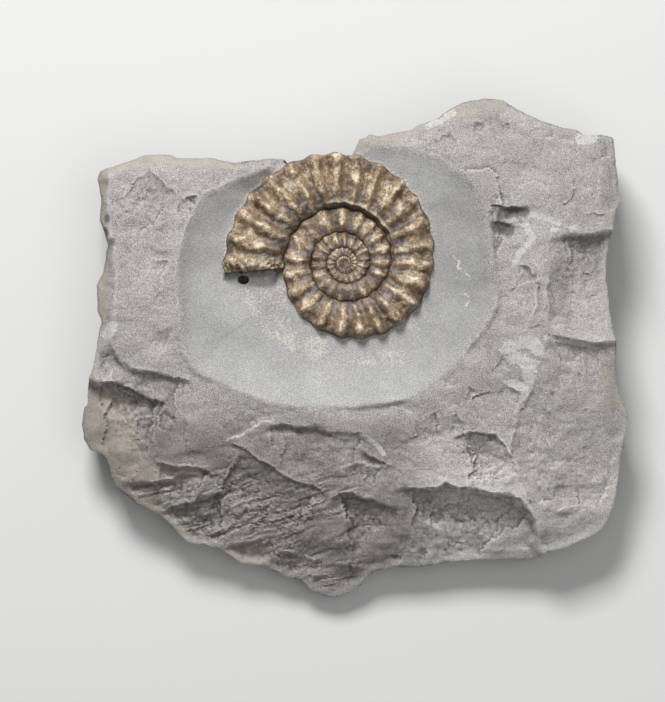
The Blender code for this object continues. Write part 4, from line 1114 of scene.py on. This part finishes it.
def closed_below(points, faces, ring):
    """The upper side's points and faces with the block's sides and its flat underside added."""
    all_faces = [tuple(face) for face in faces]
    sides = side_rings(points[ring])
    above = ring
    total = len(points)
    for _ in sides:
        below = list(range(total, total + len(ring)))
        total += len(ring)
        for i in range(len(ring)):
            after = (i + 1) % len(ring)
            all_faces.append((above[i], below[i], below[after], above[after]))
        above = below
    points = np.vstack([points] + sides)
    rim_of_base = [Vector(points[i][:2]) for i in above]
    edges = [(i, (i + 1) % len(above)) for i in range(len(above))]
    _, _, base, sources, _, _ = delaunay_2d_cdt(rim_of_base, edges, [list(range(len(above)))], 1, 1e-6)
    all_faces += [tuple(above[sources[i][0]] for i in reversed(face)) for face in base]
    return points, all_faces


def side_rings(top):
    """The block's sides below its edge, ring by ring, layered and broken, down to the flat underside."""
    angle = np.arctan2(top[:, 1], top[:, 0])
    reach = np.hypot(top[:, 0], top[:, 1])
    beside = np.maximum(SHELL_SPAN[0] - top[:, 0], top[:, 0] - SHELL_SPAN[1])
    by_shell = (1.0 - smooth_step(0.0, 8.0, beside)) * (top[:, 1] > OPEN_TOP_ABOVE)
    rings = []
    for k in range(1, SIDE_ROWS + 1):
        level = 1.0 - k / SIDE_ROWS
        height = top[:, 2] * level
        solid = height * (1 - by_shell) + np.minimum(height, RECESS_FLOOR - 2.0) * by_shell
        depth = np.array([block.side(a, max(h, 0.01)) for a, h in zip(angle, solid)])
        inset = np.clip(reach - depth, 0.05, SIDE_REACH)
        around = np.stack([np.roll(inset, shift) for shift in range(-4, 5)])
        inset = np.where(by_shell > 0.5, inset, np.median(around, axis=0))
        place = np.stack([(reach - inset) * np.cos(angle), (reach - inset) * np.sin(angle), height], axis=1)
        rough = faceted(place, SIDE_FACES) + 0.3 * chance(place, 2.0, 53) - SIDE_EVENED
        crown = np.where(by_shell > 0.5, np.minimum(top[:, 2], RECESS_FLOOR), top[:, 2])
        inset = inset + rough * smooth_step(0.0, 3.0, crown - height)
        inset = inset * (1.0 - by_shell * smooth_step(RECESS_FLOOR - 7.0, RECESS_FLOOR, height))
        depth = reach - np.maximum(inset, 0.05)
        rings.append(np.stack([depth * np.cos(angle), depth * np.sin(angle), height], axis=1))
    return rings


def mudstone_material():
    """Fine grey mudstone: sandy where broken, smoother where ground, buff and bruised white in places, with
    painted shade on the lower slopes, in small hollows, in the hole and under the shell's open end, and
    painted light and shade across the bowl and on raised edges.
    """
    material, tree, shader, spot = new_material("grey mudstone", 0.3)
    bowl = tree.carried("bowl")
    grain = tree.noise(spot, 0.42, 2.0, 0.8)
    speckle = tree.noise(spot, 1.1, 4.0, 0.75)
    clouds = tree.noise(spot, 20.0, 4.0, 0.6)
    tone = 0.5 + (grain - 0.5) * 2.0 + (speckle - 0.5) * 0.45 + (clouds - 0.5) * 0.6
    # Raised edges are painted lighter, partly pale bruising and partly a painted highlight, and hollows
    # darker.
    broken = tree.ramp(tone + (tree.carried("raised") - 0.5) * 0.7 + tree.carried("pale") * 0.17, [
        (0.0, (0.115, 0.108, 0.103)), (0.38, (0.27, 0.257, 0.246)), (0.62, (0.378, 0.36, 0.345)),
        (1.0, (0.6, 0.575, 0.55)),
    ])
    # Painted shade: the broken rock is painted darker on the lower slopes and lower left, as shade on faces
    # turned from the light.
    darker = tree.mix(1.0, broken, (0.67, 0.655, 0.645), "MULTIPLY")
    broken = tree.mix(tree.carried("deep") * 0.85, broken, darker)
    ground = tree.ramp(0.5 + (tone - 0.5) * 1.3, [
        (0.2, (0.21, 0.208, 0.203)), (0.5, (0.272, 0.27, 0.263)), (0.8, (0.36, 0.357, 0.348)),
    ])
    swirl = (tree.noise(spot, 7.0, 3.0, 0.5, 0.8) - 0.5).math("ABSOLUTE")
    scratch = (1 - swirl.step(0.003, 0.01)) * clouds.step(0.45, 0.6)
    ground = tree.mix(scratch * 0.28, ground, (0.5, 0.49, 0.47))
    # Painted light: the ground bowl is painted lighter on its lower wall, which faces the light, and darker
    # at its upper right.
    towards_top = tree.node("ShaderNodeSeparateXYZ", {}, {0: spot}, 1)
    to_right = tree.node("ShaderNodeSeparateXYZ", {}, {0: spot}, 0)
    lower = (1 - towards_top.step(-18.0, 6.0)) * 0.08
    upper_right = to_right.step(18.0, 46.0) * towards_top.step(-10.0, 12.0) * 0.14
    shade = 1.0 + lower - upper_right
    ground = tree.node("ShaderNodeVectorMath", {"operation": "SCALE"}, {0: ground, "Scale": shade})
    colour = tree.mix(bowl, broken, ground)
    buff = tree.carried("buff") * (clouds + speckle - 0.2).step(0.3, 0.95)
    colour = tree.mix(buff * 0.6, colour, (0.345, 0.3, 0.243))
    white = (tree.carried("white") * 0.9 + (speckle - 0.5) * 2.6 + (grain - 0.5) * 1.2).step(0.35, 0.9)
    colour = tree.mix(white * tree.carried("white").step(0.05, 0.7) * 0.55, colour, (0.6, 0.59, 0.575))
    traces = tree.carried("traces")
    crumbs = tree.noise(spot, 0.7, 3.0, 0.7) + traces * 0.22 + (tree.noise(spot, 5.0, 2.0) - 0.5) * 0.3
    colour = tree.mix(crumbs.step(0.7, 0.84) * traces.step(0.0, 0.6) * 0.6, colour, (0.56, 0.515, 0.45))
    reds = tree.noise(spot, 1.3, 3.0, 0.7) + (tree.noise(spot, 6.0, 2.0) - 0.5) * 0.4
    colour = tree.mix(reds.step(0.52, 0.68) * traces * 0.5, colour, (0.21, 0.165, 0.14))
    # Dark: small dark spots, and painted shade in the hole, on the face under the shell's open end and in two
    # small hollows.
    dark_tone = tree.mix(grain, (0.05, 0.047, 0.045), (0.13, 0.123, 0.117))
    colour = tree.mix(tree.carried("dark"), colour, dark_tone)
    tree.inner.links.new(colour.socket, shader.inputs["Base Color"])
    shader.inputs["Roughness"].default_value = 0.85
    height = speckle * 0.4 + grain * 0.6
    normal = tree.bump(height * (1 - bowl * 0.7), 0.9, 1.0)
    tree.inner.links.new(normal.socket, shader.inputs["Normal"])
    return material


def mesh_from(name, points, faces, shades, material):
    """A closed mesh in metres from points in millimetres, with a number at each point for every shade."""
    mesh = bpy.data.meshes.new(name)
    mesh.from_pydata((points * MM).tolist(), [], [tuple(int(i) for i in face) for face in faces])
    for key, values in shades.items():
        attribute = mesh.attributes.new(key, "FLOAT", "POINT")
        filled = np.zeros(len(points), np.float32)
        filled[:len(values)] = values
        attribute.data.foreach_set("value", filled)
    form = bmesh.new()
    form.from_mesh(mesh)
    bmesh.ops.delete(form, geom=[v for v in form.verts if not v.link_faces], context="VERTS")
    bmesh.ops.recalc_face_normals(form, faces=form.faces)
    form.to_mesh(mesh)
    form.free()
    mesh.materials.append(material)
    mesh.shade_smooth()
    mesh.set_sharp_from_angle(angle=math.radians(SHARP_ABOVE))
    return mesh


rock_points, rock_faces, rock_shades = make_block()
rock_mesh = mesh_from("mudstone_block", rock_points, rock_faces, rock_shades, mudstone_material())
add_piece("mudstone_block", rock_mesh, "matrix")

# The floor: a plain pale table top under the block.
bpy.ops.mesh.primitive_plane_add(size=4.0)
floor = bpy.context.active_object
floor.name = "table_top"
floor_material = bpy.data.materials.new("pale table top")
floor_material.use_nodes = True
floor_material.node_tree.nodes["Principled BSDF"].inputs["Base Color"].default_value = (0.5, 0.5, 0.495, 1)
floor_material.node_tree.nodes["Principled BSDF"].inputs["Roughness"].default_value = 0.8
floor.data.materials.append(floor_material)

# Studio light and the camera, which looks straight down at the fossil's face, as the photo does.
# Each lamp is a square one, given by its name, place in metres, breadth and power, and turned to the block.
LAMPS = [("key", (-0.25, 0.95, 1.1), 0.45, 30.0), ("fill", (0.35, -0.1, 1.5), 1.2, 8.0)]
LAMPS_AIM = (0, 0, 0.03)
ROOM_LIGHT = 0.25

for name, place, size, power in LAMPS:
    lamp = bpy.data.lights.new(name, "AREA")
    lamp.shape = "SQUARE"
    lamp.size = size
    lamp.energy = power
    light = bpy.data.objects.new(name, lamp)
    light.location = place
    light.rotation_euler = (Vector(LAMPS_AIM) - Vector(place)).to_track_quat("-Z", "Y").to_euler()
    bpy.context.scene.collection.objects.link(light)
world = bpy.data.worlds.new("studio")
world.use_nodes = True
world.node_tree.nodes["Background"].inputs["Color"].default_value = (1, 1, 1, 1)
world.node_tree.nodes["Background"].inputs["Strength"].default_value = ROOM_LIGHT
bpy.context.scene.world = world
bpy.context.scene.view_settings.view_transform = "Standard"

CAMERA_HEIGHT = 1.8
FACE_HEIGHT = 0.034
FRAME_SPAN = 0.2703
SENSOR = 36.0
CAMERA_OVER = (-0.0085, -0.0004)
camera_data = bpy.data.cameras.new("view from above")
camera_data.sensor_width = SENSOR
camera_data.lens = CAMERA_HEIGHT * SENSOR / FRAME_SPAN
camera_data.clip_end = 10.0
camera = bpy.data.objects.new("view from above", camera_data)
camera.location = (*CAMERA_OVER, CAMERA_HEIGHT + FACE_HEIGHT)
bpy.context.scene.collection.objects.link(camera)
bpy.context.scene.camera = camera
